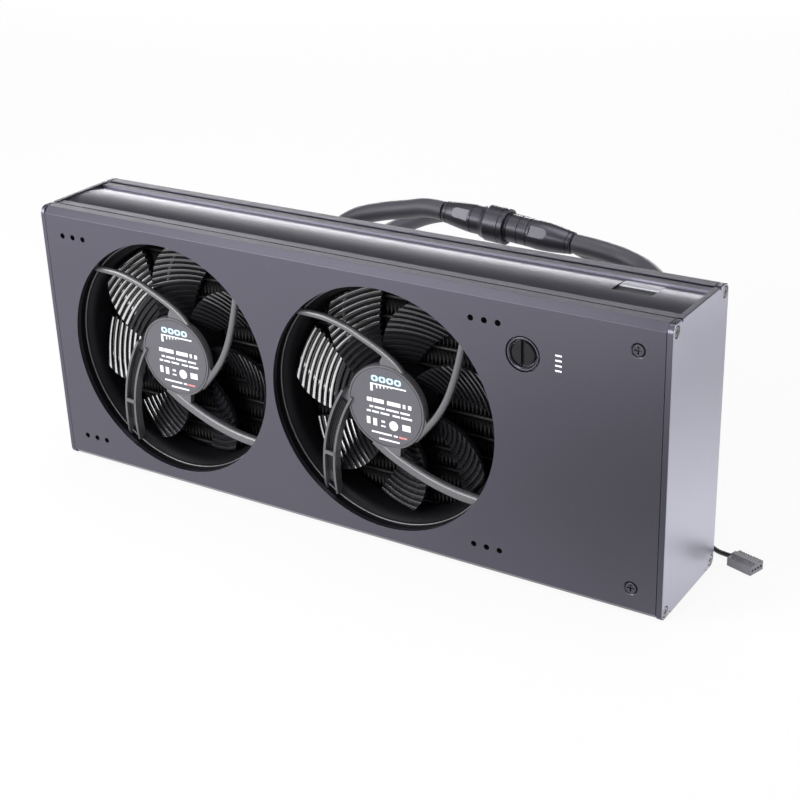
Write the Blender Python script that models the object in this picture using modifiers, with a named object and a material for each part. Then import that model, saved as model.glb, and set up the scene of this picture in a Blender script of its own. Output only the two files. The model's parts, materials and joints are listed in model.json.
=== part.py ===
"""External all in one liquid cooler: a long slim aluminium case with two 140 mm fans, a finned
radiator, a reservoir and a pump, and a pair of rubber hoses that meet in a quick coupling.

The case stands on its long edge. X runs along its length, +Y points to its back and +Z up.
The origin is at the middle of the case's underside.
"""

import math

import bmesh
import bpy
from mathutils import Matrix, Vector

# Walls, gaps and edges of the case
PANEL_WALL = 0.003
PLATE_THICKNESS = 0.003
FIT_GAP = 0.0003
CORNER_BEVEL = 0.0036
LAND_WIDTH = 0.0095
RAIL_HEIGHT = 0.0072
LEDGE_WIDTH = 0.0032
LEDGE_DEPTH = 0.0036
COVER_GAP = 0.0012
COVER_DROP = 0.0004
COVER_RAIL_WIDTH = 0.0040
CHANNEL_WIDTH = 0.0023
CHANNEL_DROP = 0.0024
CROWN_EDGE_DROP = 0.0017
CORNER_BOSS_RADIUS = 0.0043
NOTCH_WIDTH = 0.0016
NOTCH_DEPTH = 0.0012
CORNER_SCREW_RADIUS = 0.0015
CORNER_SCREW_HEAD_RADIUS = 0.0026
CORNER_SCREW_HEAD_HEIGHT = 0.0012
CORNER_SCREW_LENGTH = 0.010
UNION_OVERLAP = 0.0005

# What the case holds, which sets its own length, depth and height
FAN_SIZE = 0.140
FAN_DEPTH = 0.025
RADIATOR_THICKNESS = 0.030
GASKET_THICKNESS = 0.0028
RADIATOR_MARGIN = 0.0013
RADIATOR_END_GAP = 0.0012
LEFT_TANK_LENGTH = 0.0170
RIGHT_TANK_LENGTH = 0.0280
CORE_SHORTFALL = 0.0118
FAN_OVERHANG = 0.0066
PUMP_SIDE_GAP = 0.0074
PUMP_END_GAP = 0.0044
PUMP_FRONT_GAP = 0.0060
CLAMP_WALL = 0.0021
CASE_DEPTH = 2 * PANEL_WALL + FAN_DEPTH + RADIATOR_THICKNESS + GASKET_THICKNESS + 4 * FIT_GAP
CASE_HEIGHT = FAN_SIZE + 2 * (RAIL_HEIGHT + FIT_GAP)
MOTOR_RADIUS = CASE_DEPTH / 2 - PANEL_WALL - PUMP_FRONT_GAP
CLAMP_RADIUS = MOTOR_RADIUS + CLAMP_WALL
CORE_LENGTH = 2 * FAN_SIZE - CORE_SHORTFALL
RADIATOR_LENGTH = LEFT_TANK_LENGTH + CORE_LENGTH + RIGHT_TANK_LENGTH + 2 * FIT_GAP
PUMP_BAY_LENGTH = PUMP_SIDE_GAP + 2 * CLAMP_RADIUS + PUMP_END_GAP
CASE_LENGTH = 2 * PLATE_THICKNESS + RADIATOR_END_GAP + RADIATOR_LENGTH + PUMP_BAY_LENGTH

# Front panel openings
OPENING_LIP = 0.0040
FAN_HOLE_INSET = 0.00775
SMALL_HOLE_RADIUS = 0.0016
SMALL_HOLE_PITCH = 0.0075
PANEL_SCREW_END_INSET = 0.0167
PANEL_SCREW_TOP_INSET = 0.0150
PANEL_SCREW_RADIUS = 0.0015
PANEL_SCREW_HEAD_RADIUS = 0.0029
PANEL_SCREW_HEAD_DEPTH = 0.0017
PANEL_SCREW_LENGTH = 0.0052

# Fans
FAN_FLANGE = 0.004
FAN_CORNER_RADIUS = 0.006
FAN_SCREW_HOLE_RADIUS = 0.0022
FAN_RIM = 0.0007
DUCT_WALL = 0.0058
FLARE_WIDTH = 0.0032
FLARE_DEPTH = 0.0105
MOUTH_RIM = 0.0008
MOUTH_DEPTH = 0.0034
CUP_RADIUS = 0.0222
CUP_FACE = 0.0015
CUP_WALL = 0.0016
CUP_DEPTH = 0.0066
LABEL_INSET = 0.0010
LABEL_THICKNESS = 0.0003
STRUTS = (
    (26.5, 137.0, 0.100),
    (-45.0, 46.0, 0.090),
    (-111.0, -36.7, 0.115),
)
STRUT_WIDTH = 0.0030
STRUT_FRONT = 0.0012
STRUT_EDGE = 0.0007
TROUGH = (172.0, 238.5, 0.088)
TROUGH_WIDTH = 0.0078
TROUGH_WALL = 0.0013
TROUGH_FLOOR = 0.0014
CLIP_PLACE = 0.62
CLIP_LENGTH = 0.0022
CLIP_THICKNESS = 0.0008
FAN_LEAD_WIRES = 4
FAN_LEAD_WIRE = 0.0011
FAN_LEAD_THICKNESS = 0.0013
FAN_LEAD_END_MARGIN = 0.003
BEARING_TUBE_RADIUS = 0.0058
BEARING_TUBE_WALL = 0.0014
BEARING_TUBE_END_GAP = 0.0023
BEARING_SHORTFALL = 0.0015
SHAFT_RADIUS = 0.0015
ROTOR_RUN_GAP = 0.0012
ROTOR_BACK_GAP = 0.0014
HUB_INSET = 0.0017
ROTOR_WALL = 0.0014
ROTOR_BOSS_WALL = 0.0025
ROTOR_BOSS_LENGTH = 0.0033
BLADE_COUNT = 7
BLADE_TIP_CLEARANCE = 0.0015
BLADE_SPAN = 36.0
BLADE_SWEEP = 24.0
BLADE_TIP_ROUNDING = 0.12
BLADE_THICKNESS = 0.0014
BLADE_RIB_HEIGHT = 0.0007
BLADE_RIB_COUNT = 7
BLADE_CHORD_STEPS = 2
BLADE_FRONT_MARGIN = 0.0027
BLADE_BACK_MARGIN = 0.0012
MAGNET_THICKNESS = 0.0014
MAGNET_END_GAP = 0.0034
STATOR_AIR_GAP = 0.0014
STATOR_CORE_WALL = 0.0037
STATOR_END_GAP = 0.0059
STATOR_DROP = 0.0020
STATOR_POLES = 6
ROTOR_ANGLES = (15.0, 46.0)

# Radiator
RADIATOR_TANK_RADIUS = 0.005
TUBE_COUNT = 12
TUBE_HEIGHT = 0.0022
TUBE_PROUD = 0.0006
REAR_OPENING_MARGIN = 0.0045
REAR_OPENING_RADIUS = 0.008
GASKET_WIDTH = 0.0035

# Reservoir, fill port and window
RESERVOIR_FAN_GAP = 0.0016
RESERVOIR_TANK_GAP = 0.0030
RESERVOIR_END_GAP = 0.0020
RESERVOIR_TOP_GAP = 0.0008
RESERVOIR_PIPE_GAP = 0.0008
RESERVOIR_WALL = 0.0022
FILL_FAN_GAP = 0.0131
FILL_DROP = 0.0287
FILL_RING_BORE = 0.0072
FILL_RING_WALL = 0.0018
FILL_BOSS_RADIUS = 0.0110
FILL_PLUG_CLEARANCE = 0.0004
FILL_PLUG_HEAD = 0.0017
FILL_PLUG_SHANK_RADIUS = 0.0050
FILL_PLUG_LENGTH = 0.0105
FILL_SLOT_WIDTH = 0.0016
FILL_SLOT_DEPTH = 0.0013
FILL_SEAL_WIDTH = 0.0014
WINDOW_END_INSET = 0.0243
WINDOW_LENGTH = 0.0204
WINDOW_WIDTH = 0.0164
WINDOW_EDGE_GAP = 0.0009
WINDOW_DEPTH = 0.0030
WINDOW_THICKNESS = 0.0012
WINDOW_LEDGE = 0.0015
WINDOW_PAD = 0.0060

# Pump
PUMP_Y = -0.0005
MOTOR_HEIGHT = 0.0337
MOTOR_WELL_CLEARANCE = 0.0006
MOTOR_WELL_DEPTH = 0.018
PUMP_SEAL_HEIGHT = 0.0012
PUMP_SEAL_WIDTH = 0.0045
VOLUTE_LIP = 0.0015
VOLUTE_HEIGHT = 0.0200
VOLUTE_SIDE_WALL = 0.0075
VOLUTE_ROOF = 0.0095
VOLUTE_INLET_RADIUS = 0.0048
PUMP_BEVEL = 0.0015
IMPELLER_TIP_GAP = 0.0020
IMPELLER_RUN_GAP = 0.0010
IMPELLER_DISC = 0.0016
IMPELLER_VANE_HEIGHT = 0.0050
IMPELLER_VANE_COUNT = 6
IMPELLER_VANE_WIDTH = 0.0012
IMPELLER_EYE_RADIUS = 0.0055
IMPELLER_STEM_RADIUS = 0.0092
IMPELLER_STEM_LENGTH = 0.0165
PUMP_SHAFT_RADIUS = 0.0012
PUMP_SHAFT_LENGTH = 0.027
INLET_PIPE_RISE = 0.0247
INLET_PIPE_RADIUS = 0.0045
INLET_PIPE_BORE = 0.0033
PIPE_SEAT = 0.004
NOZZLE_BACK_GAP = 0.0100
NOZZLE_WALL = 0.0022
NOZZLE_RISE = 0.008
SUPPLY_PIPE_RADIUS = 0.0050
SUPPLY_PIPE_BORE = 0.0036
SUPPLY_BLOCK_WIDTH = 0.0180
SUPPLY_BLOCK_WALL = 0.0017
SUPPLY_BLOCK_HEIGHT = 0.0190
BRACKET_WALL = 0.0020
BRACKET_WIDTH = 0.0140
BRACKET_END_MARGIN = 0.0060
CLAMP_HEIGHT = 0.0140
CLAMP_BOTTOM_Z = 0.0180

# Hose fittings, hoses and coupling
SUPPLY_FROM_PUMP_X = 0.0147
SUPPLY_DROP = 0.0315
RETURN_FROM_CORE_X = 0.0152
RETURN_RISE = 0.0050
FITTING_NECK_RADIUS = 0.0060
FITTING_BORE = 0.0034
FITTING_SEAT_DEPTH = 0.0071
FITTING_FLANGE_RADIUS = 0.0095
FITTING_FLANGE_HEIGHT = 0.0030
FITTING_NUT_RADIUS = 0.0084
FITTING_NUT_HEIGHT = 0.0110
HOSE_DIAMETER = 0.0110
HOSE_SPACING = 0.0209
COUPLING_LEFT = (-0.0047, 0.0995, 0.1408)
COUPLING_RIGHT = (0.0767, 0.0995, 0.1344)
COUPLING_BODY_RADIUS = 0.0082
COUPLING_END_RADIUS = 0.0063
COUPLING_BORE = 0.0034
COUPLING_SPLIT = 0.52
COUPLING_STEP = 0.0003
COUPLING_COLLAR_RADIUS = 0.0103
COUPLING_COLLAR_START = 0.0255
COUPLING_COLLAR_LENGTH = 0.0155
COUPLING_COLLAR_TAPER = 0.0030
COUPLING_COLLAR_LIP = 0.0010

# Control lead
LEAD_DIAMETER = 0.0026
LEAD_SPACING = 0.0085
GROMMET_FROM_PUMP_X = 0.0060
GROMMET_Z = 0.0200
GROMMET_NECK_RADIUS = 0.0036
GROMMET_BORE = 0.0016
GROMMET_FLANGE_RADIUS = 0.0055
GROMMET_FLANGE = 0.0014
PLUG_START = (0.2000, 0.0387, 0.0033)
PLUG_TURN = -17.0
PLUG_LENGTH = 0.0150
PLUG_WIDTH = 0.0102
PLUG_HEIGHT = 0.0060
PLUG_RIB_WIDTH = 0.0030
PLUG_RIB_HEIGHT = 0.0010
PLUG_SOCKET_COUNT = 4
PLUG_SOCKET_SIZE = 0.0013
PLUG_SOCKET_PITCH = 0.0023
PLUG_SOCKET_DEPTH = 0.004

# Routes of the two hoses and of the lead, chosen by hand. The first hose runs from the supply
# fitting to the coupling's right end, the second from its left end round to the return fitting.
SHORT_HOSE_ROUTE = (
    (0.1443, 0.0475, 0.1235),
    (0.1443, 0.0580, 0.1236),
    (0.1414, 0.0705, 0.1246),
    (0.1336, 0.0839, 0.1264),
    (0.1216, 0.0938, 0.1286),
    (0.1072, 0.0989, 0.1309),
    (0.0920, 0.0995, 0.1331),
    (0.0772, 0.0995, 0.1344),
)
LONG_HOSE_ROUTE = (
    (-0.0059, 0.0995, 0.1409),
    (-0.0125, 0.0995, 0.1413),
    (-0.0205, 0.0995, 0.1408),
    (-0.0301, 0.0995, 0.1386),
    (-0.0486, 0.0995, 0.1344),
    (-0.0673, 0.0995, 0.1282),
    (-0.0843, 0.0994, 0.1170),
    (-0.0976, 0.0967, 0.1090),
    (-0.1162, 0.0943, 0.0978),
    (-0.1330, 0.1022, 0.0858),
    (-0.1439, 0.1187, 0.0757),
    (-0.1464, 0.1396, 0.0697),
    (-0.1400, 0.1607, 0.0691),
    (-0.1262, 0.1772, 0.0743),
    (-0.1079, 0.1852, 0.0840),
    (-0.0860, 0.1836, 0.0960),
    (-0.0650, 0.1805, 0.1058),
    (-0.0450, 0.1798, 0.1104),
    (-0.0221, 0.1800, 0.1117),
    (0.0129, 0.1785, 0.1090),
    (0.0450, 0.1730, 0.1040),
    (0.0745, 0.1610, 0.0980),
    (0.0960, 0.1385, 0.0915),
    (0.1080, 0.1095, 0.0860),
    (0.1126, 0.0775, 0.0830),
    (0.1129, 0.0600, 0.0825),
    (0.1129, 0.0473, 0.0825),
)
LEAD_ROUTE = (
    (0.1650, 0.0300, 0.0200),
    (0.1650, 0.0362, 0.0200),
    (0.1645, 0.0420, 0.0192),
    (0.1615, 0.0490, 0.0148),
    (0.1560, 0.0545, 0.0075),
    (0.1480, 0.0590, 0.0024),
    (0.1380, 0.0640, 0.0013),
    (0.1270, 0.0710, 0.0013),
    (0.1205, 0.0800, 0.0013),
    (0.1245, 0.0890, 0.0013),
    (0.1345, 0.0900, 0.0013),
    (0.1440, 0.0835, 0.0013),
    (0.1550, 0.0730, 0.0013),
    (0.1680, 0.0610, 0.0013),
    (0.1800, 0.0505, 0.0013),
    (0.1890, 0.0436, 0.0016),
    (0.1950, 0.0404, 0.0026),
    (0.1994, 0.0389, 0.0033),
)

# Derived places of the case
END_X = CASE_LENGTH / 2
FRONT_Y = -CASE_DEPTH / 2
BACK_Y = CASE_DEPTH / 2
REAR_INNER_Y = BACK_Y - PANEL_WALL
PANEL_LENGTH = CASE_LENGTH - 2 * (PLATE_THICKNESS + FIT_GAP)
CENTRE_Z = CASE_HEIGHT / 2
COVER_HALF_WIDTH = CASE_DEPTH / 2 - LAND_WIDTH - COVER_GAP
CHANNEL_HALF_WIDTH = COVER_HALF_WIDTH - COVER_RAIL_WIDTH
CROWN_HALF_WIDTH = CHANNEL_HALF_WIDTH - CHANNEL_WIDTH
SCREW_INSET = CORNER_BOSS_RADIUS
PANEL_SCREW_X = END_X - PANEL_SCREW_END_INSET
PANEL_SCREW_HALF_SPACING = CENTRE_Z - PANEL_SCREW_TOP_INSET

# Derived places of the radiator and the fans
RADIATOR_HEIGHT = CASE_HEIGHT - 2 * (RAIL_HEIGHT + RADIATOR_MARGIN)
RADIATOR_BOTTOM_Z = CENTRE_Z - RADIATOR_HEIGHT / 2
RADIATOR_CORE_START_X = -END_X + PLATE_THICKNESS + RADIATOR_END_GAP + LEFT_TANK_LENGTH + FIT_GAP
RADIATOR_CORE_END_X = RADIATOR_CORE_START_X + CORE_LENGTH
RIGHT_TANK_END_X = RADIATOR_CORE_END_X + FIT_GAP + RIGHT_TANK_LENGTH
FAN_PAIR_START_X = RADIATOR_CORE_START_X - FAN_OVERHANG
FAN_PAIR_END_X = FAN_PAIR_START_X + 2 * FAN_SIZE
FAN_CENTRES_X = (FAN_PAIR_START_X + FAN_SIZE / 2, FAN_PAIR_END_X - FAN_SIZE / 2)
FAN_FRONT_Y = FRONT_Y + PANEL_WALL + FIT_GAP
FAN_BACK_Y = FAN_FRONT_Y + FAN_DEPTH
RADIATOR_FRONT_Y = FAN_BACK_Y + FIT_GAP
RADIATOR_BACK_Y = RADIATOR_FRONT_Y + RADIATOR_THICKNESS
DUCT_OUTER_RADIUS = FAN_SIZE / 2 - FAN_RIM
DUCT_RADIUS = DUCT_OUTER_RADIUS - DUCT_WALL
FLARE_RADIUS = DUCT_RADIUS + FLARE_WIDTH
MOUTH_RADIUS = DUCT_OUTER_RADIUS - MOUTH_RIM
STRUT_TIP_RADIUS = (MOUTH_RADIUS + DUCT_OUTER_RADIUS) / 2
FAN_OPENING_RADIUS = DUCT_RADIUS + OPENING_LIP
FAN_HOLE_HALF_SPACING = FAN_SIZE / 2 - FAN_HOLE_INSET
LABEL_RADIUS = CUP_RADIUS - LABEL_INSET
STRUT_BACK = CUP_DEPTH
FAN_LEAD_WIDTH = FAN_LEAD_WIRES * FAN_LEAD_WIRE
ROTOR_FRONT = CUP_DEPTH + ROTOR_RUN_GAP
ROTOR_BACK = FAN_DEPTH - ROTOR_BACK_GAP
ROTOR_HUB_RADIUS = CUP_RADIUS - HUB_INSET
ROTOR_BOSS_RADIUS = SHAFT_RADIUS + ROTOR_BOSS_WALL
HUB_SPACE = ROTOR_BACK - ROTOR_WALL - ROTOR_FRONT
MAGNET_LENGTH = HUB_SPACE - MAGNET_END_GAP
STATOR_DEPTH = HUB_SPACE - STATOR_END_GAP - STATOR_DROP
STATOR_RADIUS = ROTOR_HUB_RADIUS - ROTOR_WALL - FIT_GAP - MAGNET_THICKNESS - STATOR_AIR_GAP
STATOR_CORE_RADIUS = BEARING_TUBE_RADIUS + STATOR_CORE_WALL
BOSS_END = ROTOR_BACK - ROTOR_WALL - ROTOR_BOSS_LENGTH
BEARING_TUBE_BORE = BEARING_TUBE_RADIUS - BEARING_TUBE_WALL
BEARING_TUBE_LENGTH = BOSS_END - BEARING_TUBE_END_GAP - CUP_FACE - CUP_WALL
BEARING_LENGTH = BEARING_TUBE_LENGTH - BEARING_SHORTFALL

# Derived places of the pump, the reservoir and what passes through the panels
PUMP_X = RIGHT_TANK_END_X + PUMP_SIDE_GAP + CLAMP_RADIUS
PUMP_BOTTOM_Z = RAIL_HEIGHT + 2 * FIT_GAP
MOTOR_WELL_RADIUS = IMPELLER_STEM_RADIUS + MOTOR_WELL_CLEARANCE
PUMP_SEAL_BORE = MOTOR_RADIUS - PUMP_SEAL_WIDTH
VOLUTE_RADIUS = MOTOR_RADIUS + VOLUTE_LIP
VOLUTE_CAVITY_RADIUS = VOLUTE_RADIUS - VOLUTE_SIDE_WALL
VOLUTE_CAVITY_HEIGHT = VOLUTE_HEIGHT - VOLUTE_ROOF
IMPELLER_RADIUS = VOLUTE_CAVITY_RADIUS - IMPELLER_TIP_GAP
VOLUTE_BOTTOM_Z = PUMP_BOTTOM_Z + MOTOR_HEIGHT + PUMP_SEAL_HEIGHT + 2 * FIT_GAP
VOLUTE_TOP_Z = VOLUTE_BOTTOM_Z + VOLUTE_HEIGHT
NOZZLE_Y = REAR_INNER_Y - NOZZLE_BACK_GAP
NOZZLE_RADIUS = SUPPLY_PIPE_RADIUS + NOZZLE_WALL
SUPPLY_BLOCK_FRONT_Y = NOZZLE_Y - SUPPLY_PIPE_RADIUS - SUPPLY_BLOCK_WALL
RESERVOIR_START_X = FAN_PAIR_END_X + RESERVOIR_FAN_GAP
RESERVOIR_STEP_X = RIGHT_TANK_END_X + RESERVOIR_TANK_GAP
RESERVOIR_END_X = END_X - PLATE_THICKNESS - RESERVOIR_END_GAP
RESERVOIR_BOTTOM_Z = VOLUTE_TOP_Z + INLET_PIPE_RISE
RESERVOIR_TOP_Z = CASE_HEIGHT - RAIL_HEIGHT - RESERVOIR_TOP_GAP
RESERVOIR_FRONT_Y = FAN_FRONT_Y + BRACKET_WALL + FIT_GAP
RESERVOIR_BACK_Y = SUPPLY_BLOCK_FRONT_Y - RESERVOIR_PIPE_GAP
FILL_X = FAN_PAIR_END_X + FILL_FAN_GAP
FILL_Z = CASE_HEIGHT - FILL_DROP
FILL_RING_RADIUS = FILL_RING_BORE + FILL_RING_WALL
FILL_PLUG_RADIUS = FILL_RING_BORE - FILL_PLUG_CLEARANCE
FILL_SEAL_RADIUS = FILL_PLUG_SHANK_RADIUS + FILL_SEAL_WIDTH
WINDOW_END_X = END_X - WINDOW_END_INSET
WINDOW_START_X = WINDOW_END_X - WINDOW_LENGTH
WINDOW_END_Y = CROWN_HALF_WIDTH - WINDOW_EDGE_GAP
WINDOW_START_Y = WINDOW_END_Y - WINDOW_WIDTH
SUPPLY_X = PUMP_X - SUPPLY_FROM_PUMP_X
SUPPLY_Z = CASE_HEIGHT - SUPPLY_DROP
RETURN_X = RADIATOR_CORE_END_X + RETURN_FROM_CORE_X
RETURN_Z = CENTRE_Z + RETURN_RISE
FITTING_INNER_END_Y = REAR_INNER_Y - FITTING_SEAT_DEPTH
FITTING_BASE_Y = BACK_Y + FIT_GAP
FITTING_END_Y = FITTING_BASE_Y + FITTING_FLANGE_HEIGHT + FITTING_NUT_HEIGHT
GROMMET_X = PUMP_X + GROMMET_FROM_PUMP_X

# Object axes for pieces that are drawn flat and then turned into place: the drawing's x, y and
# the way it is raised become the named directions of the part.
ALONG_X = Matrix(((0, 0, 1), (1, 0, 0), (0, 1, 0)))
TOWARDS_BACK = Matrix(((1, 0, 0), (0, 0, 1), (0, -1, 0)))
TOWARDS_FRONT = Matrix(((1, 0, 0), (0, 0, -1), (0, 1, 0)))
UPRIGHT = Matrix.Identity(3)


def start_scene():
    """Empty the file and make one collection for the pieces and one for the cutting shapes."""
    for item in list(bpy.data.objects):
        bpy.data.objects.remove(item, do_unlink=True)
    found = []
    for name in ("external_liquid_cooler", "cutting_shapes"):
        collection = bpy.data.collections.new(name)
        bpy.context.scene.collection.children.link(collection)
        found.append(collection)
    return found


PIECES, CUTTERS = start_scene()


def material(name, colour, roughness, metallic=0.0):
    """A Principled BSDF with one colour, roughness and metallic value."""
    made = bpy.data.materials.new(name)
    made.use_nodes = True
    shader = made.node_tree.nodes["Principled BSDF"]
    shader.inputs["Base Color"].default_value = (*colour, 1.0)
    shader.inputs["Roughness"].default_value = roughness
    shader.inputs["Metallic"].default_value = metallic
    return made


ANODISED_DARK = material("anodised_dark", (0.075, 0.072, 0.088), 0.42, 0.8)
ANODISED_LIGHT = material("anodised_light", (0.40, 0.39, 0.45), 0.42, 0.8)
SCREW_STEEL = material("screw_steel", (0.55, 0.55, 0.57), 0.3, 1.0)
BLACK_SCREW = material("black_screw", (0.03, 0.03, 0.035), 0.35, 0.9)
FAN_PLASTIC = material("fan_plastic", (0.030, 0.030, 0.034), 0.38)
ROTOR_PLASTIC = material("rotor_plastic", (0.035, 0.035, 0.040), 0.3)
LABEL_FOIL = material("label_foil", (0.07, 0.07, 0.08), 0.5)
SHAFT_STEEL = material("shaft_steel", (0.6, 0.6, 0.62), 0.2, 1.0)
BRASS = material("brass", (0.62, 0.45, 0.18), 0.35, 1.0)
COPPER = material("copper", (0.55, 0.25, 0.12), 0.4, 1.0)
MAGNET_BLACK = material("magnet_black", (0.02, 0.02, 0.02), 0.6)
RADIATOR_BLACK = material("radiator_black", (0.02, 0.02, 0.022), 0.45, 0.3)
FOAM = material("foam", (0.02, 0.02, 0.02), 0.95)
CLEAR_PLASTIC = material("clear_plastic", (0.30, 0.32, 0.35), 0.15)
BLACK_PLASTIC = material("black_plastic", (0.022, 0.022, 0.026), 0.4)
GLOSS_BLACK = material("gloss_black", (0.012, 0.012, 0.015), 0.08)
RUBBER = material("rubber", (0.025, 0.025, 0.028), 0.6)
COUPLING_BLACK = material("coupling_black", (0.022, 0.022, 0.027), 0.42, 0.4)
CERAMIC = material("ceramic", (0.8, 0.8, 0.78), 0.3)
PLUG_GREY = material("plug_grey", (0.18, 0.17, 0.19), 0.5)
CABLE_BLACK = material("cable_black", (0.015, 0.015, 0.017), 0.5)


def link(name, mesh, finish, location=(0, 0, 0), axes=UPRIGHT, collection=PIECES):
    """Put a mesh into the file as a named object with its finish, place and axes."""
    made = bpy.data.objects.new(name, mesh)
    made.matrix_world = Matrix.Translation(location) @ axes.to_4x4()
    collection.objects.link(made)
    if finish is not None:
        mesh.materials.append(finish)
    if collection is CUTTERS:
        made.hide_render = True
        made.display_type = "WIRE"
    return made


def finish_mesh(name, shape, smooth=True):
    """Turn a bmesh into a mesh with its faces pointing out."""
    bmesh.ops.recalc_face_normals(shape, faces=shape.faces)
    mesh = bpy.data.meshes.new(name)
    shape.to_mesh(mesh)
    shape.free()
    if smooth:
        mesh.shade_smooth()
        mesh.set_sharp_from_angle(angle=math.radians(35))
    return mesh


def box(name, low, high, finish=None, collection=PIECES):
    """A cuboid between two opposite corners."""
    low, high = Vector(low), Vector(high)
    shape = bmesh.new()
    bmesh.ops.create_cube(shape, size=1.0)
    bmesh.ops.scale(shape, vec=high - low, verts=shape.verts)
    bmesh.ops.translate(shape, vec=(low + high) / 2, verts=shape.verts)
    return link(name, finish_mesh(name, shape, False), finish, collection=collection)


def cylinder(name, radius, start, end, axes, location, sides=32, end_radius=None, finish=None,
             collection=CUTTERS):
    """A cylinder or cone between two heights above its location, along its own third axis."""
    shape = bmesh.new()
    bmesh.ops.create_cone(
        shape,
        cap_ends=True,
        segments=sides,
        radius1=radius,
        radius2=radius if end_radius is None else end_radius,
        depth=end - start,
    )
    bmesh.ops.translate(shape, vec=(0, 0, (start + end) / 2), verts=shape.verts)
    return link(name, finish_mesh(name, shape), finish, location, axes, collection)


def raised(name, outline, start, end, finish=None, location=(0, 0, 0), axes=UPRIGHT,
           collection=PIECES):
    """A flat outline raised from one height to another along its own third axis."""
    shape = bmesh.new()
    corners = [shape.verts.new((x, y, start)) for x, y in outline]
    face = shape.faces.new(corners)
    grown = bmesh.ops.extrude_face_region(shape, geom=[face])["geom"]
    moved = [item for item in grown if isinstance(item, bmesh.types.BMVert)]
    bmesh.ops.translate(shape, vec=(0, 0, end - start), verts=moved)
    return link(name, finish_mesh(name, shape, False), finish, location, axes, collection)


def turned(name, profile, finish=None, location=(0, 0, 0), axes=UPRIGHT, steps=32, closed=True,
           collection=PIECES):
    """A turned piece: a profile of (radius, height) points, top to bottom on its outer side."""
    mesh = bpy.data.meshes.new(name)
    count = len(profile)
    edges = [(i, i + 1) for i in range(count - 1)]
    if closed:
        edges.append((count - 1, 0))
    mesh.from_pydata([(radius, 0, height) for radius, height in profile], edges, [])
    made = link(name, mesh, finish, location, axes, collection)
    screw = made.modifiers.new("turn", "SCREW")
    screw.axis = "Z"
    screw.angle = math.tau
    screw.steps = steps
    screw.render_steps = steps
    screw.use_merge_vertices = True
    screw.merge_threshold = 0.00005
    screw.use_smooth_shade = False
    return made


def boolean(target, cutter, operation="DIFFERENCE"):
    """Cut a shape out of a piece, or join one to it."""
    step = target.modifiers.new(operation.lower(), "BOOLEAN")
    step.operation = operation
    step.solver = "EXACT"
    step.object = cutter


def arc(centre, radius, start, end, steps):
    """Points on a circle from one angle to another, in degrees."""
    return [
        (
            centre[0] + radius * math.cos(math.radians(start + (end - start) * i / steps)),
            centre[1] + radius * math.sin(math.radians(start + (end - start) * i / steps)),
        )
        for i in range(steps + 1)
    ]


def rounded_rectangle(half_x, half_y, radius, steps=4):
    """The outline of a rectangle about the origin with round corners."""
    corners = ((1, 1, 0), (-1, 1, 90), (-1, -1, 180), (1, -1, 270))
    points = []
    for side_x, side_y, start in corners:
        centre = (side_x * (half_x - radius), side_y * (half_y - radius))
        points += arc(centre, radius, start, start + 90, steps)
    return points


def smooth_route(points, spacing):
    """Evenly spaced points on a smooth curve through the route's own points."""
    path = [Vector(p) for p in points]
    ends = [2 * path[0] - path[1], *path, 2 * path[-1] - path[-2]]
    fine = []
    for before, here, after, beyond in zip(ends, ends[1:], ends[2:], ends[3:]):
        for step in range(24):
            t = step / 24
            fine.append(
                0.5
                * (
                    2 * here
                    + (after - before) * t
                    + (2 * before - 5 * here + 4 * after - beyond) * t**2
                    + (3 * here - before - 3 * after + beyond) * t**3
                )
            )
    fine.append(path[-1])
    lengths = [0.0]
    for a, b in zip(fine, fine[1:]):
        lengths.append(lengths[-1] + (b - a).length)
    count = max(2, round(lengths[-1] / spacing))
    chosen = []
    index = 0
    for k in range(count + 1):
        wanted = lengths[-1] * k / count
        while index < len(fine) - 2 and lengths[index + 1] < wanted:
            index += 1
        part = (wanted - lengths[index]) / max(lengths[index + 1] - lengths[index], 1e-9)
        chosen.append(fine[index].lerp(fine[index + 1], min(part, 1.0)))
    return chosen


def tube(name, points, radius, finish, resolution=2):
    """A solid round cord through the given points, with closed ends."""
    curve = bpy.data.curves.new(name, "CURVE")
    curve.dimensions = "3D"
    curve.bevel_depth = radius
    curve.bevel_resolution = resolution
    curve.use_fill_caps = True
    spline = curve.splines.new("POLY")
    spline.points.add(len(points) - 1)
    for place, point in zip(spline.points, points):
        place.co = (*point, 1.0)
    curve.materials.append(finish)
    made = bpy.data.objects.new(name, curve)
    PIECES.objects.link(made)
    return made


# Case panels


def panel_section(side):
    """Section of the front or rear panel: a wall, bevelled corners and a rail with a ledge."""
    outer = side * CASE_DEPTH / 2
    bevel = outer - side * CORNER_BEVEL
    inner = outer - side * PANEL_WALL
    land = outer - side * LAND_WIDTH
    ledge = land - side * LEDGE_WIDTH
    upper = [
        (outer, CASE_HEIGHT - CORNER_BEVEL),
        (bevel, CASE_HEIGHT),
        (land, CASE_HEIGHT),
        (land, CASE_HEIGHT - LEDGE_DEPTH),
        (ledge, CASE_HEIGHT - LEDGE_DEPTH),
        (ledge, CASE_HEIGHT - RAIL_HEIGHT),
        (inner, CASE_HEIGHT - RAIL_HEIGHT),
    ]
    lower = [(y, CASE_HEIGHT - z) for y, z in reversed(upper)]
    return upper + lower


def cut_corner_screw_bores(panel, side):
    """Threaded bores in the ends of both rails of a panel, one for each corner screw."""
    y = side * (CASE_DEPTH / 2 - SCREW_INSET)
    depth = CORNER_SCREW_LENGTH + FIT_GAP
    for end in (-1, 1):
        for z in (SCREW_INSET, CASE_HEIGHT - SCREW_INSET):
            bore = cylinder(
                f"{panel.name}_bore_{end}_{z:.3f}",
                CORNER_SCREW_RADIUS + FIT_GAP,
                -depth,
                depth,
                ALONG_X,
                (end * PANEL_LENGTH / 2, y, z),
                sides=8,
            )
            boolean(panel, bore)


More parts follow.
